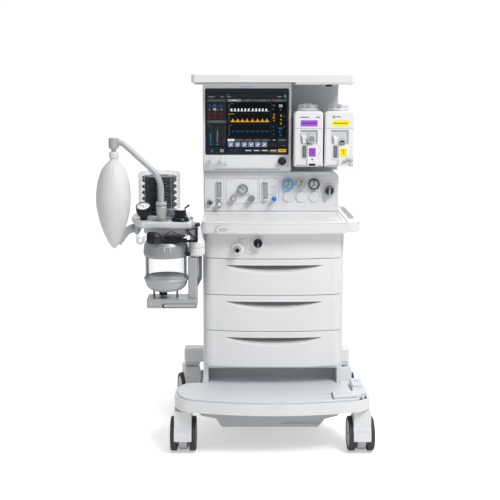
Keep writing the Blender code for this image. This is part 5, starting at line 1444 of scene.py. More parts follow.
def vap_dial(name, mid, body, node):
    """A concentration dial: graduated skirt, fluted grip and a release button."""
    at = (mid, 268.0, VZ1 + 0.4)
    skirt_ = turned("skirt", round_profile([(0, 9.0), (38.5, 9.0), (40.9, 7.0), (40.9, 1.2), (39.0, 0.2), (0, 0.2)], 0.8, 3), at, steps=96)
    grip = grip_knob("grip", at, 37.6, 8.6, 22.0, 9, 2.6, 2.6, "Z")
    crown = turned("crown", round_profile([(0, 26.4), (15, 26.2), (19, 24.6), (30, 21.8), (30, 20), (0, 20)], 1.6, 3), at, steps=72)
    out = [paint(skirt_, "vap_white"), paint(grip, "light_grey"), paint(crown, "plate_white")]
    for i in range(36):
        a = RAD(-200 + i * 8)
        h0, h1 = 3.0, (7.4 if i % 4 == 0 else 5.4)
        p0 = (at[0] + 41.0 * math.cos(a), at[1] + 41.0 * math.sin(a), at[2] + h0)
        p1 = (at[0] + 41.0 * math.cos(a), at[1] + 41.0 * math.sin(a), at[2] + h1)
        out.append(paint(line3("tick", [p0, p1], 0.8, 0.12, (math.cos(a), math.sin(a), 0)), "mid_grey"))
    out.append(paint(box("release", mid - 6.5, mid + 6.5, at[1] - 40.2, at[1] - 31, at[2] + 10, at[2] + 20, r=1.6, seg=3), "mid_grey"))
    out.append(paint(box("mark", mid - 0.9, mid + 0.9, at[1] - 30, at[1] - 17, at[2] + 23.4, at[2] + 25.0), "mid_grey"))
    put(join(name, out), body, None, node)


parts, mid, _ = vaporizer("left", 84.6, 193.6, "label_purple", "purple_dark", 109.2, 172.4, 115.4, 131.2)
fun = prism("funnel", [(110, 1153), (133, 1147), (137, 1139), (131, 1134), (131, 1119), (117, 1119), (117, 1137)], 206, 216, "Y", r=1.6, seg=3)
parts.append(paint(fun, "plate_white"))
parts.append(paint(drum("dot", 3.2, 0, 1.0, (152.6, VY0 - 6.5, 1060.6), (0, -1, 0), 0.3, 28), "black"))
parts.append(paint(box("drain", 141, 165, VY0 - 8.8, VY0 - 6.3, 1036.5, 1044.5, r=0.8, seg=2), "black"))
parts.append(paint(tube("lanyard", smooth_route([(170, 205, 1122), (180, 202, 1108), (184, 202, 1092), (178, 202, 1078), (173, 203, 1062)], 14, 6), 0.9, 3), "clear_tube"))
put(join("vaporizer_body_left", parts), "machine", None, "vaporizer_left")
vap_dial("dial_left", mid, "vaporizer_dial_left_body", "vaporizer_dial_left")

parts, mid, _ = vaporizer("right", 199.5, 311.0, "label_yellow", "yellow_dark", 227.9, 290.1, 232.0, 247.6)
fun = prism("funnel", [(228, 1152), (246, 1146), (252, 1138), (246, 1131), (246, 1118), (234, 1118), (234, 1134)], 206, 216, "Y", r=1.6, seg=3)
parts.append(paint(fun, "plate_white"))
parts.append(paint(loft("kf", rounded_rect(254, 277, 1117.6, 1124.5, 2.5, 4), [(VY0 + 6.5, 0), (VY0 - 9, 0), (VY0 - 10.5, 1.2)], "Y"), "knob_grey"))
parts.append(paint(loft("kf", rounded_rect(258, 273, 1124.5, 1130.5, 2.5, 4), [(VY0 + 6.5, 0), (VY0 - 7, 0), (VY0 - 8.5, 1.2)], "Y"), "black"))
for hx, hz, tilt in ((273, 1052, 30), (286, 1058, -20)):
    route = [(hx - 7, 200, hz - 6), (hx - 6, 197, hz + 3), (hx + 2, 196, hz + 7), (hx + 7, 198, hz + 1), (hx + 4, 201, hz - 6)]
    parts.append(paint(tube("latch", smooth_route(route, 5, 4), 1.9, 4), "steel"))
parts.append(paint(tube("latch", smooth_route([(266, 203, 1046), (280, 200, 1050), (296, 201, 1060), (303, 204, 1064)], 6, 4), 2.4, 4), "satin_metal"))
parts.append(paint(ring("ltr", 4.0, 7.2, 0, 3.4, (298, 203.4, 1056), (0, -1, 0), 0.8, 36), "satin_metal"))
tag = tube("tag", smooth_route([(294, 200, 1046), (286, 198, 1028), (290, 197, 1014), (303, 197, 1013), (307, 198, 1030), (302, 200, 1048)], 8, 5), 0.9, 3)
parts.append(paint(tag, "clear_tube"))
parts.append(paint(prism("tagp", [(287, 1027), (304, 1029), (303, 1014.5), (290, 1014.5)], 196.6, 197.4, "Y"), "clear"))
put(join("vaporizer_body_right", parts), "machine", None, "vaporizer_right")
vap_dial("dial_right", mid, "vaporizer_dial_right_body", "vaporizer_dial_right")

cap_ = grip_knob("fillcap", (149, VY0 + 6.6, 1137), 16.8, 3.6, 20.6, 20, 0.9, 2.0, "Y", "knob_light")
capn = turned("fillneck", [(0, 4), (13, 4), (13, 0.3), (0, 0.3)], (149, VY0 + 6.6, 1137), (0, -1, 0), 48)
capf = turned("fillface", round_profile([(0, 21.8), (8, 21.6), (12.5, 20.4), (12.5, 19), (0, 19)], 0.6, 2), (149, VY0 + 6.6, 1137), (0, -1, 0), 48)
put(join("filler_grip", [cap_, paint(capn, "steel"), paint(capf, "knob_grey")]), "filler_cap_body", None, "vaporizer_filler_cap")

# ----------------------------------------------------------- breathing circuit
moulded("arm_metal", (0.47, 0.475, 0.48), 0.52, metal=0.3)
moulded("circuit_white", (0.74, 0.75, 0.765), 0.36, coat=0.2)
moulded("bowl_grey", (0.43, 0.44, 0.455), 0.36, coat=0.2)
moulded("port_grey", (0.56, 0.575, 0.59), 0.34, coat=0.25)
moulded("strap_black", (0.010, 0.011, 0.013), 0.5, spec=0.3)
moulded("gauge_black", (0.006, 0.007, 0.010), 0.36, coat=0.05, spec=0.3)
AX, AY = -402.0, 60.0
BX, BY = -570.0, 60.0
DXC, DYC = -421.7, 210.0
MX, MY = -274.6, 45.0

mount = turned("mount_post", round_profile([(0, 850), (10.8, 850), (12.0, 842), (15.5, 826), (24.5, 786), (29.8, 776), (29.8, 732), (24.5, 729.5), (24.0, 726.2), (0, 726.2)], 2.2, 4), (MX, MY, 0), steps=80)
cut(mount, ring("mg", 29.0, 33, 757.0, 758.6, (MX, MY, 0), edge=0.0, steps=80))
arm_ = box("mount_arm", -299, -257, 52, 250, 737, 771, r=4, seg=4)
foot_ = box("mount_foot", -271.5, -257.2, 216, 299, 701, 799, r=2.6, seg=3)
parts = [paint(mount, "white"), paint(arm_, "white"), paint(foot_, "white"), paint(ring("mr", 24, 29.2, 757.1, 758.5, (MX, MY, 0), edge=0.0, steps=72), "grey_line")]
for z in (712, 788):
    for y in (228, 287):
        parts.append(screw_head("ms", -271.5, y, z, 4.2, (-1, 0, 0)))
put(join("circuit_bracket", parts), "machine", None, "circuit_mount")

SLAB = [(-470, 22), (-300, 12), (-292, 20), (-290, 126), (-300, 150), (-312, 292), (-490, 304), (-516, 285), (-526, 180), (-506, 90)]
slab_pts = [(p[0], p[1]) for p in smooth_route([(*p, 0) for p in SLAB + [SLAB[0]]], 10, 4)][:-1]
slab = loft("slab", slab_pts, [(826.5, 6.0), (827.6, 4.4), (831, 3.8), (831.2, 1.2), (832.4, 0.2), (834, 0), (846, 0), (848.6, 0.6), (850, 2.4)])
lower = loft("lower", [(p[0], p[1]) for p in smooth_route([(*p, 0) for p in [(-452, 28), (-306, 22), (-304, 180), (-340, 280), (-470, 285), (-490, 200), (-452, 28)]], 14, 5)][:-1], [(790, 26), (791, 20), (796, 11), (806, 4), (816, 1), (826.4, 0)])
rear_box = loft("rearbox", rounded_rect(-478, -340, 150, 284, 14, 5), [(786, 6), (790, 1), (828, 0)])
parts = [paint(slab, "circuit_white"), paint(lower, "bowl_grey"), paint(rear_box, "port_grey")]
parts.append(paint(box("strapbar", -405, -268.4, -14, -2, 784.2, 792.3, r=1.2, seg=2), "strap_black"))
parts.append(paint(box("strapend", -392, -309, -8, 40, 784.6, 790.4, r=1.2, seg=2), "strap_black"))
parts.append(paint(box("strapup", -276, -268.4, -14, 7.6, 786, 836, r=1.4, seg=2), "strap_black"))
parts.append(paint(line3("brace", [(-309, -9, 829), (-292, -10, 812), (-272, -11, 793)], 3.4, 2.0), "strap_black"))
parts.append(paint(line3("brace2", [(-309, -9, 829), (-270, -10, 834)], 3.0, 2.0), "strap_black"))
sheet_ = prism("gusset", [(-308, 828), (-270, 833), (-270, 791), (-290, 791)], -8.0, -6.8, "Y")
parts.append(paint(sheet_, "knob_grey"))
parts.append(paint(box("lug", -311, -268.4, 85, 125, 797, 833, r=2, seg=3), "port_grey"))
# sockets and little fittings on the slab
sock = turned("sock", round_profile([(11.0, 904.6), (17, 904.6), (19.8, 901), (19.6, 888), (16.6, 864), (16.6, 858), (11.0, 858)][:-1] + [(11.0, 856)], 1.0, 3), (AX, AY, 0), steps=80)
parts.append(paint(sock, "arm_metal"))
parts.append(paint(turned("sockfoot", round_profile([(0, 857.5), (24.5, 857.5), (26, 856), (26, 849), (0, 849)], 0.8, 2), (AX, AY, 0), steps=72), "clear_dark"))
parts.append(paint(turned("apl_flange", round_profile([(0, 865.8), (22.5, 865.8), (28.5, 861.5), (32.3, 855.5), (32.3, 849), (0, 849)], 1.2, 3), (-334, 60, 0), steps=80), "gauge_black"))
parts.append(paint(box("keypad", -300.5, -291.5, 92, 104, 849.5, 858.5, r=1.2, seg=3), "ui_button"))
parts.append(paint(turned("nipple", round_profile([(0, 16), (3.2, 16), (3.8, 12), (3.2, 10), (5.6, 9), (5.6, 0), (0, 0)], 0.5, 2), (-304, 118, 853), (1, 0, 0), 28), "circuit_white"))
# domed check valves: a grey seat with a clear cover
for vx, vy, hgt in ((-372, 116, 40), (-330, 116, 22)):
    parts.append(paint(turned("seat", round_profile([(0, 8), (20, 8), (22, 6), (22, -0.5), (0, -0.5)], 0.8, 2), (vx, vy, 850), steps=56), "port_grey"))
    parts.append(paint(turned("cover", round_profile([(0, hgt), (12, hgt - 1.4), (18.2, hgt - 6), (19.2, 8), (17.6, 8), (16.8, hgt - 7), (11, hgt - 3), (0, hgt - 1.8)], 2.0, 3), (vx, vy, 850), steps=56), "clear_dark"))
    parts.append(paint(turned("leaf", [(0, 12.6), (14, 12.6), (14, 12.0), (0, 12.0)], (vx, vy, 850), steps=40), "dial_white"))
parts.append(paint(turned("domebase", round_profile([(66.8, 856.5), (80.5, 856.5), (83, 854.6), (83, 849.5), (66.8, 849.5)], 0.8, 2), (DXC, DYC, 0), steps=96), "port_grey"))
for x, y in ((-500, 250), (-505, 200), (-470, 40), (-306, 250)):
    parts.append(screw_head("bs", x, y, 850.0, 3.0, (0, 0, 1)))
parts.append(paint(line3("edge", [(-458, 21.2, 838.6), (-302, 13.6, 838.6)], 1.1, 0.25), "grey_line"))
put(join("circuit_block", parts), "machine", None, "breathing_block")

dome = turned("dome",
              round_profile([(0, 1014), (73.4, 1014), (78.8, 1010.6), (79.5, 1003), (79.5, 857), (76.9, 857), (76.9, 1003), (74.9, 1009), (71.4, 1011.2), (0, 1011.2)], 2.4, 4), (DXC, DYC, 0), steps=112)
parts = [paint(dome, "dome_clear")]
for a in (-128, -90, -52):
    for dr in (0.0,):
        ca, sa = math.cos(RAD(a)), math.sin(RAD(a))
        parts.append(paint(line3("rib", [(DXC + 79.4 * ca, DYC + 79.4 * sa, 860), (DXC + 79.4 * ca, DYC + 79.4 * sa, 1002)], 0.7, 0.25, (ca, sa, 0)), "light_grey"))
for k in range(12):
    z = 868 + k * 11
    a0, a1 = (-78, -60) if k % 3 == 0 else (-74, -64)
    pts = [(DXC + 79.5 * math.cos(RAD(a)), DYC + 79.5 * math.sin(RAD(a)), z) for a in range(a0, a1 + 1, 2)]
    parts.append(paint(line3("grad", pts, 0.7, 0.25, (math.cos(RAD(-69)), math.sin(RAD(-69)), 0)), "mid_grey"))
for a in range(0, 360, 90):
    parts.append(paint(box("lug", DXC + 80 * math.cos(RAD(a + 45)) - 4, DXC + 80 * math.cos(RAD(a + 45)) + 4, DYC + 80 * math.sin(RAD(a + 45)) - 4, DYC + 80 * math.sin(RAD(a + 45)) + 4, 856.6, 862, r=1.2, seg=2), "clear_tube"))
put(join("bellows_cover", parts), "machine", None, "bellows_dome")

prof = [(0, 989.6), (58, 989.6)]
pitch = 139.0 / 6
for i in range(6):
    z = 989.6 - i * pitch
    prof += [(60.5, z - 1.5), (65.2, z - 6.2), (66.4, z - 8.0), (65.2, z - 9.8), (55.0, z - 18.2), (53.2, z - 20.2), (55.0, z - pitch + 0.8)]
prof = prof[:-1] + [(55, 851.0), (0, 851.0)]
bel = turned("bellows_pleats", prof, (DXC, DYC, 0), steps=112)
put(bel, "machine", "bellows", "bellows", smooth=60)
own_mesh(bel)
disc = [paint(turned("bd", round_profile([(0, 998.6), (60, 998.6), (65.6, 996.6), (65.6, 991), (0, 991)], 1.0, 3), (DXC, DYC, 0), steps=96), "navy"),
        paint(ring("bdr", 40, 44, 998.4, 999.4, (DXC, DYC, 0), edge=0.2, steps=72), "light_grey")]
put(join("bellows_top", disc), "bellows_disc_body", None, "bellows_disc")

# airway pressure gauge, tilted up to the user
GA = Vector((-0.05, -0.42, 0.9)).normalized()
GC = (-467.0, 80.0, 878.0)
GU = Vector((1, 0, 0)) - GA * GA.x
GU.normalize()
GV = GA.cross(GU)


def on_gauge(u, v, h):
    p = Vector(GC) + GU * u + GV * v + GA * h
    return (p.x, p.y, p.z)


parts = [paint(turned("gb", round_profile([(0, 24), (24.4, 24), (24.4, 28.6), (26.2, 29.4), (28.0, 27.0), (27.6, 8), (23, -6), (15, -16), (0, -16)], 1.6, 3), GC, GA, 80), "gauge_black"),
         paint(turned("gf", [(0, 25.0), (24.2, 25.0), (24.2, 24.0), (0, 24.0)], GC, GA, 64), "dial_white"),
         paint(turned("gg", round_profile([(0, 29.2), (16, 28.9), (24.6, 27.6), (24.6, 26.8), (0, 28.2)], 1.5, 3), GC, GA, 64), "lens"),
         paint(turned("gs", round_profile([(0, 873), (12.2, 873), (12.8, 866), (12.8, 850.6), (0, 850.6)], 1.0, 2), (-469, 84, 0), steps=56), "gauge_black")]
for i in range(31):
    a = RAD(-140 + 280 * i / 30)
    r0 = 17.6 if i % 5 == 0 else 19.6
    parts.append(paint(line3("gt", [on_gauge(math.sin(a) * r0, math.cos(a) * r0, 25.1), on_gauge(math.sin(a) * 22, math.cos(a) * 22, 25.1)], 0.6 if i % 5 else 1.0, 0.2, GA), "black"))
parts.append(paint(line3("gn", [on_gauge(3.5, -3.5, 25.8), on_gauge(-6, 6, 25.8), on_gauge(-13, 13, 25.8)], 1.2, 0.4, GA), "black"))
parts.append(paint(turned("gh", [(0, 27), (2.6, 27), (2.6, 25), (0, 25)], GC, GA, 24), "black"))
put(join("airway_dial", parts), "machine", None, "airway_gauge")

# the swinging arm and the bag
arm_route = smooth_route([(AX, AY, 874), (AX, AY, 1006), (-538, 60, 1131), (-556, 60, 1133)], 46, 14)
arm = tube("arm_tube", arm_route, 10.2, 10)
elbow = turned("arm_elbow", round_profile([(0, 1150), (15.6, 1150), (18, 1147.5), (18, 1113), (14.5, 1110.5), (9.2, 1109.5), (9.0, 1099.5), (0, 1099.5)], 1.3, 4), (BX, BY, 0), steps=72)
stub = turned("stub", round_profile([(0, 24), (11.8, 24), (12.4, 22), (12.4, 4), (0, 4)], 0.8, 2), (BX, BY, 1133), (1, 0, 0), 48)
collar = turned("bag_neck_ring", round_profile([(9.1, 1100.4), (14.8, 1100.4), (17.9, 1096.5), (17.9, 1081), (14.6, 1076.4), (9.1, 1076.4)], 1.6, 4), (BX, BY, 0), steps=72)
low_collar = turned("arm_nut", round_profile([(10.3, 919.8), (17.6, 919.8), (20.2, 916.6), (20.2, 908.6), (17.0, 905.7), (10.3, 905.7)], 1.2, 3), (AX, AY, 0), steps=72)
parts = [paint(arm, "arm_metal"), paint(elbow, "arm_metal"), paint(stub, "arm_metal"), paint(collar, "circuit_white"), paint(low_collar, "arm_metal")]
put(join("bag_arm_tube", parts), "bag_arm_body", None, "bag_arm")

BAG = [(1.8, 747.4), (3.4, 749.0), (10, 756), (23, 776), (38, 810), (51, 850), (60, 895), (62.5, 935), (59, 980), (51, 1015), (38, 1045), (20, 1066), (14.0, 1072), (13.0, 1076.0)]


def bag_shell(n=128, rows=110):
    """A soft silicone bag hung from its neck: four moulded seams, creases fading from each end."""
    bm = bmesh.new()
    zs = [p[1] for p in BAG]

    def radius(z):
        for i in range(len(BAG) - 1):
            if z <= BAG[i + 1][1]:
                p0, p1, p2, p3 = BAG[max(i - 1, 0)], BAG[i], BAG[i + 1], BAG[min(i + 2, len(BAG) - 1)]
                t = (z - p1[1]) / (p2[1] - p1[1])
                m1 = (p2[0] - p0[0]) / max(1e-6, p2[1] - p0[1]) * (p2[1] - p1[1])
                m2 = (p3[0] - p1[0]) / max(1e-6, p3[1] - p1[1]) * (p2[1] - p1[1])
                return (2 * t ** 3 - 3 * t ** 2 + 1) * p1[0] + (t ** 3 - 2 * t ** 2 + t) * m1 + (-2 * t ** 3 + 3 * t ** 2) * p2[0] + (t ** 3 - t ** 2) * m2
        return BAG[-1][0]
    rings = []
    for j in range(rows + 1):
        t = j / rows
        z = zs[0] + (zs[-1] - zs[0]) * (0.5 - 0.5 * math.cos(math.pi * t)) ** 0.92
        r = max(0.8, radius(z))
        up = (z - zs[0]) / (zs[-1] - zs[0])
        near_top = math.exp(-((1.0 - up) / 0.16) ** 2)
        near_low = math.exp(-(up / 0.12) ** 2)
        ringv = []
        for k in range(n):
            a = 2 * math.pi * k / n
            seam_ = sum(math.exp(-((math.atan2(math.sin(a - s), math.cos(a - s))) * r / 2.0) ** 2) for s in (RAD(-62), RAD(28), RAD(118), RAD(208)))
            puff = 0.45 * math.cos(4 * (a + RAD(62))) * min(1.0, r / 40)
            crease = (near_top * 0.9 + near_low * 0.6) * math.cos(15 * a + 2.0 * math.sin(3 * a)) * min(1.0, r / 18)
            soft = 0.7 * noise.noise(Vector((math.cos(a) * 1.6, math.sin(a) * 1.6, z * 0.012))) * min(1.0, r / 40)
            rr = r + 1.0 * seam_ * min(1.0, r / 20) - puff + crease + soft
            ringv.append(bm.verts.new(W((BX + rr * math.cos(a) - 5.0 * math.sin(min(1.0, (1.0 - up) / 0.6) * math.pi / 2), BY + rr * math.sin(a), z))))
        rings.append(ringv)
    for r0, r1 in zip(rings, rings[1:]):
        for k in range(n):
            bm.faces.new((r0[k], r0[(k + 1) % n], r1[(k + 1) % n], r1[k]))
    bm.faces.new(rings[0])
    bm.faces.new(rings[-1])
    return _keep(bm, "breathing_bag_shell")


mat, tree, bsdf = _nodes("bag_silicone")
vec = _coords(tree)
cloud = _noise(tree, vec, 9.0, 4.0)
tree.links.new(_mix(tree, _range(tree, cloud, 0.3, 0.7, 0.0, 1.0), (0.70, 0.70, 0.69), (0.76, 0.76, 0.755)), bsdf.inputs["Base Color"])
tree.links.new(_range(tree, cloud, 0.3, 0.7, 0.44, 0.56), bsdf.inputs["Roughness"])
_bump(tree, _noise(tree, vec, 900.0, 2.0), bsdf, 0.12, 0.0001, _bump(tree, _noise(tree, vec, 26.0, 3.0), bsdf, 0.12, 0.0015))
bsdf.inputs["Subsurface Weight"].default_value = 0.35
bsdf.inputs["Subsurface Radius"].default_value = (0.03, 0.03, 0.028)
bsdf.inputs["Subsurface Scale"].default_value = 0.5
bsdf.inputs["Sheen Weight"].default_value = 0.1
bag = bag_shell(128, 110)
put(bag, "bag_arm_body", "bag_silicone", "breathing_bag", smooth=80, weighted=False)

# adjustable pressure-limiting valve
parts = [grip_knob("ak", (-334, 60, 0), 21.2, 867.2, 891.0, 22, 0.8, 1.4, "Z", "gauge_black"),
         paint(turned("at", round_profile([(0, 897.4), (17.4, 897.4), (19.4, 895.4), (19.8, 890.5), (0, 890.5)], 1.0, 3), (-334, 60, 0), steps=64), "dial_white"),
         paint(ring("ar", 8.0, 9.0, 897.2, 897.8, (-334, 60, 0), edge=0.1, steps=40), "mid_grey"),
         paint(tube("al", smooth_route([(-332, 59, 884), (-316, 52, 897), (-304, 47, 907)], 5, 4), 3.2, 5), "gauge_black"),
         paint(turned("alk", round_profile([(0, 4), (4.0, 3.2), (4.4, 0), (4.0, -3.2), (0, -4)], 1.0, 2), (-304, 47, 907), (0.65, -0.3, 0.7), 24), "gauge_black")]
put(join("pressure_valve_knob", parts), "apl_body", None, "apl_knob")

# patient ports, the clear water elbow and the side manifold
parts = []
for pts, tip in (([(-491, 120, 812), (-530, 112, 806), (-566, 104, 758)], Vector((-36, -8, -48))), ([(-491, 172, 812), (-532, 176, 808), (-566, 184, 764)], Vector((-34, 8, -44)))):
    route = smooth_route(pts, 26, 10)
    tb = tube("pt", route, 11.3, 8)
    end = Vector(pts[-1])
    d = (Vector(pts[-1]) - Vector(pts[-2])).normalized()
    bore = tube("pb", [tuple(end - d * 26), tuple(end + d * 6)], 8.8, 8)
    cut(tb, bore)
    parts.append(paint(tb, "port_grey"))
    for back, rr in ((2.6, 12.6), (24, 13.4)):
        c = end - d * back
        parts.append(paint(ring("pr", 11.0, rr, -1.6, 1.6, tuple(c), tuple(d), 0.6, 44), "port_grey" if back > 10 else "light_grey"))
    parts.append(ring("nut", 10.8, 15.6, 0, 15, tuple(Vector(pts[0]) + Vector((-3, 0, 0))), (-1, 0, 0), 1.4, 12))
    paint(parts[-1], "bowl_grey")
    parts.append(paint(ring("nut2", 10.8, 14.2, 0, 3.4, tuple(Vector(pts[0]) + Vector((-21, -2, 0))), (-1, 0, 0), 0.8, 40), "knob_grey"))
parts.append(paint(box("manifold", -504.6, -488.6, 101, 191, 792.6, 828.4, r=4.5, seg=4), "port_grey"))
parts.append(paint(box("manifold2", -512, -504, 108, 184, 798, 823, r=2.5, seg=3), "bowl_grey"))
parts.append(paint(tube("trap", smooth_route([(-496, 106, 794), (-496, 104, 770), (-488, 104, 760), (-474, 106, 762), (-470, 108, 786)], 10, 5), 5.2, 6), "clear_tube"))
parts.append(paint(ring("trapr", 9, 14, -4, 4, (-486, 103, 768), (0, 1, 0), 1.6, 40), "clear_tube"))
put(join("patient_port_set", parts), "machine", None, "patient_ports")

# oxygen cell, its neck and its lead
at = (-422.0, -30.0, 803.0)
body = loft("cell", [(at[1] + a, at[2] + b) for a, b in lobed(21.8, 26, 0.9)], [(at[0] + h, d) for h, d in eased(-24.8, 2.0, 11.0, 3.0, 8)], "X")
parts = [paint(body, "gauge_black"),
         paint(turned("cell2", round_profile([(0, 26.8), (9.0, 26.8), (19.0, 18.6), (22.0, 1), (0, 1)], 5.0, 6), at, (1, 0, 0), 56), "black"),
         paint(turned("cneck", round_profile([(0, 43.8), (9.6, 43.8), (9.6, 0), (0, 0)], 0.8, 2), (-418, -30, 803), (0, 1, 0), 40), "gauge_black"),
         paint(turned("crelief", round_profile([(2.2, 9.5), (3.6, 9.5), (4.6, 0), (2.2, 0)], 0.6, 2), (-395.4, -26.5, 800.4), (1, 0.2, 0.1), 24), "black")]
put(join("oxygen_cell", parts), "machine", None, "oxygen_sensor")

CABLE = [(-392, -26, 800), (-386, -30, 806), (-378, -32, 815), (-368, -30, 824), (-358, -28, 826), (-346, -28, 821), (-330, -28, 812), (-314, -27, 808), (-303, -24, 812), (-299, -20, 821), (-303, -15, 829), (-310, -13, 826), (-309, -12, 816), (-300, -9, 812), (-291, -4, 822), (-285, 2, 832), (-279, 12, 838), (-276, 24, 840)]


def catmull(pts, k=8):
    out = []
    for i in range(len(pts) - 1):
        p0, p1, p2, p3 = (Vector(pts[max(i - 1, 0)]), Vector(pts[i]), Vector(pts[i + 1]), Vector(pts[min(i + 2, len(pts) - 1)]))
        for j in range(k):
            t = j / k
            out.append(0.5 * ((2 * p1) + (p2 - p0) * t + (2 * p0 - 5 * p1 + 4 * p2 - p3) * t * t + (3 * p1 - p0 - 3 * p2 + p3) * t ** 3))
    out.append(Vector(pts[-1]))
    return out


line = [W(p) for p in catmull(CABLE, 8)]
crv = bpy.data.curves.new("sensor_lead", "CURVE")
crv.dimensions = "3D"
crv.bevel_depth = 0.0018
crv.bevel_resolution = 4
crv.use_fill_caps = True
sp = crv.splines.new("POLY")
sp.points.add(len(line) - 1)
for node_, p in zip(sp.points, line):
    node_.co = (*p, 1.0)
lead = bpy.data.objects.new("sensor_lead", crv)
bpy.context.scene.collection.objects.link(lead)
crv.materials.append(MATS["black"])
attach(lead, "machine")
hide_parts("sensor_cable")
plug = join("lead_plug", [paint(turned("pg", round_profile([(0, 15), (5.6, 15), (6.8, 12), (6.8, 0), (0, 0)], 0.8, 2), (-276, 25, 840), (0.75, 0.35, 0.12), 32), "gauge_black"),
                          paint(turned("pg2", round_profile([(2.0, 0), (3.4, 0), (4.4, 6.5), (2.0, 6.5)], 0.5, 2), (-278.2, 18.0, 839.2), (0.3, 1.0, 0.16), 24), "black")])
put(plug, "machine")

# ------------------------------------------------------- absorber canister
moulded("can_metal", (0.37, 0.385, 0.40), 0.40, metal=0.35, coat=0.15)
moulded("can_light", (0.47, 0.485, 0.50), 0.38, metal=0.3, coat=0.15)
moulded("bracket_grey", (0.45, 0.46, 0.47), 0.36, metal=0.35, coat=0.2)
moulded("plate_dark", (0.13, 0.135, 0.14), 0.45)
moulded("post_grey", (0.20, 0.205, 0.215), 0.35, metal=0.5)
CX, CY = -387.0, 60.0
head = turned("head", round_profile([(0, 789.2), (17.6, 789.2), (18.4, 781.4), (64, 781), (72.5, 778), (78.4, 766), (81.8, 744), (81.8, 730), (79.4, 727.6), (78.8, 722.8), (74.4, 722.8), (74.4, 734.6), (0, 734.6)], 1.6, 4), (CX, CY, 0), steps=128)
cut(head, ring("hg", 81.0, 84, 737.6, 739.0, (CX, CY, 0), edge=0.0, steps=96))
parts = [paint(head, "can_metal"), paint(ring("hr", 78, 81.3, 737.7, 738.9, (CX, CY, 0), edge=0.0, steps=96), "grey_line")]
arch_out = [(-386, 750), (-386.2, 760), (-384.4, 766), (-380.4, 769.8), (-375.4, 771), (-370.4, 769.8), (-366.4, 766), (-364.8, 760), (-364.6, 750)]


def on_head(x, z, lift=0.0):
    r = 81.8 - (z - 744) * (3.4 / 22.0) if z > 744 else 81.8
    dx = x - CX
    return (x, CY - math.sqrt(max(1.0, (r + lift) ** 2 - dx * dx)), z)


parts.append(paint(line3("arch", [on_head(x, min(z, 765.5 + (z - 765.5) * 0.45) if z > 765.5 else z) for x, z in arch_out], 2.4, 2.4, (0.1, -1, 0.15)), "circuit_white"))
parts.append(paint(line3("archk", [on_head(-375.4, 752, 0.6), on_head(-375.4, 757, 0.6)], 5.5, 1.4, (0.1, -1, 0.15)), "can_light"))
parts.append(paint(turned("clamp", round_profile([(0, 15), (7.0, 14.4), (9.4, 11.5), (9.4, 2), (6, 0), (0, 0)], 2.0, 4), (-306, 12, 739.5), (0.2, -1, 0), 40), "strap_black"))
parts.append(paint(box("clampbar", -314, -298, 10, 56, 732, 746, r=2, seg=3), "bracket_grey"))
for a in (200, 250, 335, 20, 110):
    parts.append(screw_head("hs", CX + 50 * math.cos(RAD(a)), CY + 50 * math.sin(RAD(a)), 781, 3.0, (0, 0, 1)))
put(join("canister_lid", parts), "machine", None, "canister_head")

glass = turned("jar", round_profile([(77.3, 721.6), (77.3, 646.8), (74.7, 646.8), (74.7, 721.6), (77.3, 721.6)], 0.4, 2)[:-1], (CX, CY, 0), steps=128)
parts = [paint(glass, "dome_clear")]
for a, w_ in ((199, 2.4), (162, 2.2), (-18, 2.2), (17, 2.2)):
    ca, sa = math.cos(RAD(a)), math.sin(RAD(a))
    parts.append(paint(tube("rod", [(CX + 72 * ca, CY + 72 * sa, 640), (CX + 72 * ca, CY + 72 * sa, 721)], w_, 4), "post_grey"))
put(join("canister_jar", parts), "canister_body", None, "canister_glass")

cup = turned("cup", round_profile([(74.8, 646.2), (79.6, 646.2), (81.3, 643.6), (81.4, 638), (79.8, 634.4), (77.4, 632), (76.2, 624), (71, 611), (61, 601.4), (50, 597.2), (0, 597.2), (0, 603.2), (50, 604), (64, 613), (71.6, 628), (74.0, 640), (74.8, 646.2)], 1.6, 4)[:-1], (CX, CY, 0), steps=128)
parts = [paint(cup, "can_light")]
for r0, r1, z in ((22, 25, 604.6), (34, 37, 604.8), (46, 49, 605.4)):
    parts.append(paint(ring("cr", r0, r1, 602.6, z, (CX, CY, 0), edge=0.5, steps=72), "can_metal"))
parts.append(paint(turned("boss", round_profile([(0, 610), (9, 610), (12, 606), (12, 602), (0, 602)], 1.0, 2), (CX, CY, 0), steps=48), "can_metal"))
parts.append(paint(turned("mesh", [(0, 640.6), (73.4, 640.6), (73.4, 639.4), (0, 639.4)], (CX, CY, 0), steps=96), "circuit_white"))
for r0 in (12, 24, 36, 48, 60, 69):
    parts.append(paint(ring("mr", r0, r0 + 2.4, 640.2, 642.2, (CX, CY, 0), edge=0.4, steps=72), "mid_grey"))
parts.append(paint(grip_knob("screw", (-397, 40, 0), 14.8, 580.2, 594.6, 24, 0.8, 1.2, "Z"), "strap_black"))
parts.append(paint(drum("stem", 8, 593, 600, (-397, 40, 0), edge=0.6, steps=40), "post_grey"))
for gx in (-430, -346):
    parts.append(paint(drum("guide", 3.9, 562.4, 603, (gx, 40, 0), edge=0.6, steps=32), "post_grey"))
put(join("canister_bowl", parts), "canister_body", None, "canister_cup")

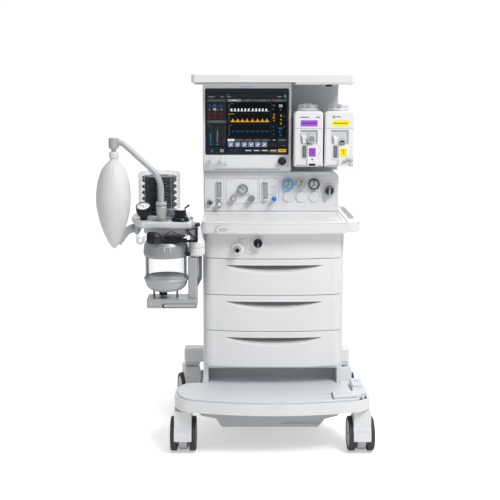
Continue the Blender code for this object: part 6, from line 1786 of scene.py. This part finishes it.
foot_pts = rounded_rect(-455, -273, 4, 92, 7, 6)
brk = loft("foot", foot_pts, eased(538, 572, 4.5, 2.0, 5))
post = loft("post", rounded_rect(-305.5, -273, 22, 92, 6, 6), eased(560, 722, 1, 3.0, 4))
add(brk, post)
cut(brk, drum("w", 16, 566, 590, (-397, 40, 0), steps=48), drum("w", 4.6, 548, 580, (-430, 40, 0), steps=24), drum("w", 4.6, 548, 580, (-346, 40, 0), steps=24),
    turned("way", [(0, 730), (86, 730), (86, 590), (0, 590)], (CX, CY, 0), steps=72), loft("hw", rounded_rect(-399, -268, 540, 557, 5, 5), [(20, 0), (-5, 0)], "Y"))
back_ = box("back", -299, -268, 61, 91, 640.5, 724.5, r=2.5, seg=3)
plate_ = prism("plate", [(-275, 724), (-257.4, 724), (-257.4, 634), (-275, 600)], 66, 90, "Y", r=1.2, seg=2)
parts = [paint(brk, "bracket_grey"), paint(back_, "bracket_grey"), paint(plate_, "plate_dark")]
parts.append(paint(line3("fl", [(-448, 3.8, 546), (-404, 3.8, 546)], 1.0, 0.3), "grey_line"))
parts.append(paint(turned("arrow", [(0, 1), (3, 1), (3, 0), (0, 0)], (-438, 4.2, 555), (0, -1, 0), 24), "light_grey"))
put(join("canister_bracket_body", parts), "machine", None, "canister_bracket")
lev = loft("lever", rounded_rect(-393.6, -278.4, 541.4, 555.6, 6.8, 7), [(17, 0.6), (16.4, 0), (7.4, 0), (5.6, 0.9), (5.1, 2.6)], "Y")
parts = [paint(lev, "can_light"), paint(drum("pivot", 5.2, 0, 1.6, (-386, 6, 548), (0, -1, 0), 0.4, 32), "steel")]
put(join("canister_lever", parts), "canister_handle_body", None, "canister_handle")


# ------------------------------------------------------- camera, light, floor
def studio():
    cam_data = bpy.data.cameras.new("camera")
    cam_data.lens = 62.44
    cam_data.sensor_width = 36.0
    cam_data.shift_x = 0.026
    cam_data.shift_y = -0.09
    cam_data.clip_start = 0.05
    cam = bpy.data.objects.new("camera", cam_data)
    cam.location = W((-129, -3040, 1336.6))
    cam.rotation_euler = (RAD(90 - 7.878), 0, 0)
    bpy.context.scene.collection.objects.link(cam)
    bpy.context.scene.camera = cam

    bm = bmesh.new()
    xs = 9.0
    prof = [(-6.0, 0.0), (2.6, 0.0)]
    for i in range(13):
        a = RAD(90 * i / 12)
        prof.append((2.6 + 1.6 * math.sin(a), 1.6 * (1 - math.cos(a))))
    prof.append((4.2, 6.5))
    rows = [[bm.verts.new((x, y, z)) for y, z in prof] for x in (-xs, xs)]
    for i in range(len(prof) - 1):
        bm.faces.new((rows[0][i], rows[1][i], rows[1][i + 1], rows[0][i + 1]))
    floor = _keep(bm, "studio_floor", recalc=False)
    floor.data.polygons.foreach_set("use_smooth", [True] * len(floor.data.polygons))
    mat, tree, bsdf = _nodes("studio")
    vec = _coords(tree)
    fac = _range(tree, _noise(tree, vec, 0.7, 2.0), 0.3, 0.7, 0.0, 1.0)
    tree.links.new(_mix(tree, fac, (0.93, 0.93, 0.93), (0.95, 0.95, 0.95)), bsdf.inputs["Base Color"])
    bsdf.inputs["Roughness"].default_value = 0.9
    bsdf.inputs["Specular IOR Level"].default_value = 0.1
    rays = tree.nodes.new("ShaderNodeLightPath")
    tree.links.new(_range(tree, rays.outputs["Is Camera Ray"], 0.0, 1.0, 0.0, 0.42), bsdf.inputs["Emission Strength"])
    bsdf.inputs["Emission Color"].default_value = (1, 1, 1, 1)
    floor.data.materials.append(mat)

    world = bpy.data.worlds.new("studio")
    bpy.context.scene.world = world
    world.use_nodes = True
    bg = world.node_tree.nodes["Background"]
    bg.inputs["Color"].default_value = (0.97, 0.98, 1.0, 1)
    look = world.node_tree.nodes.new("ShaderNodeLightPath")
    world.node_tree.links.new(_range(world.node_tree, look.outputs["Is Camera Ray"], 0.0, 1.0, 0.395, 1.1), bg.inputs["Strength"])

    def area(name, at, to, size, power, colour=(1, 1, 1)):
        d = bpy.data.lights.new(name, "AREA")
        d.shape = "RECTANGLE"
        d.size, d.size_y = size
        d.energy = power
        d.color = colour
        o = bpy.data.objects.new(name, d)
        o.location = at
        o.rotation_euler = (Vector(to) - Vector(at)).to_track_quat("-Z", "Y").to_euler()
        bpy.context.scene.collection.objects.link(o)
    area("key", (1.95, -2.3, 3.8), (0, 0, 0.7), (1.4, 1.4), 121)
    area("fill", (-2.9, -2.0, 1.6), (0, 0, 0.7), (1.6, 2.4), 3.0, (0.96, 0.98, 1.0))
    area("top", (0.2, 0.3, 3.9), (0, 0, 0.6), (2.6, 2.2), 29)
    area("back", (0.6, 3.0, 2.4), (0, 0, 0.9), (2.4, 1.6), 22)
    bpy.context.scene.view_settings.view_transform = "Standard"
    bpy.context.scene.view_settings.look = "None"


studio()
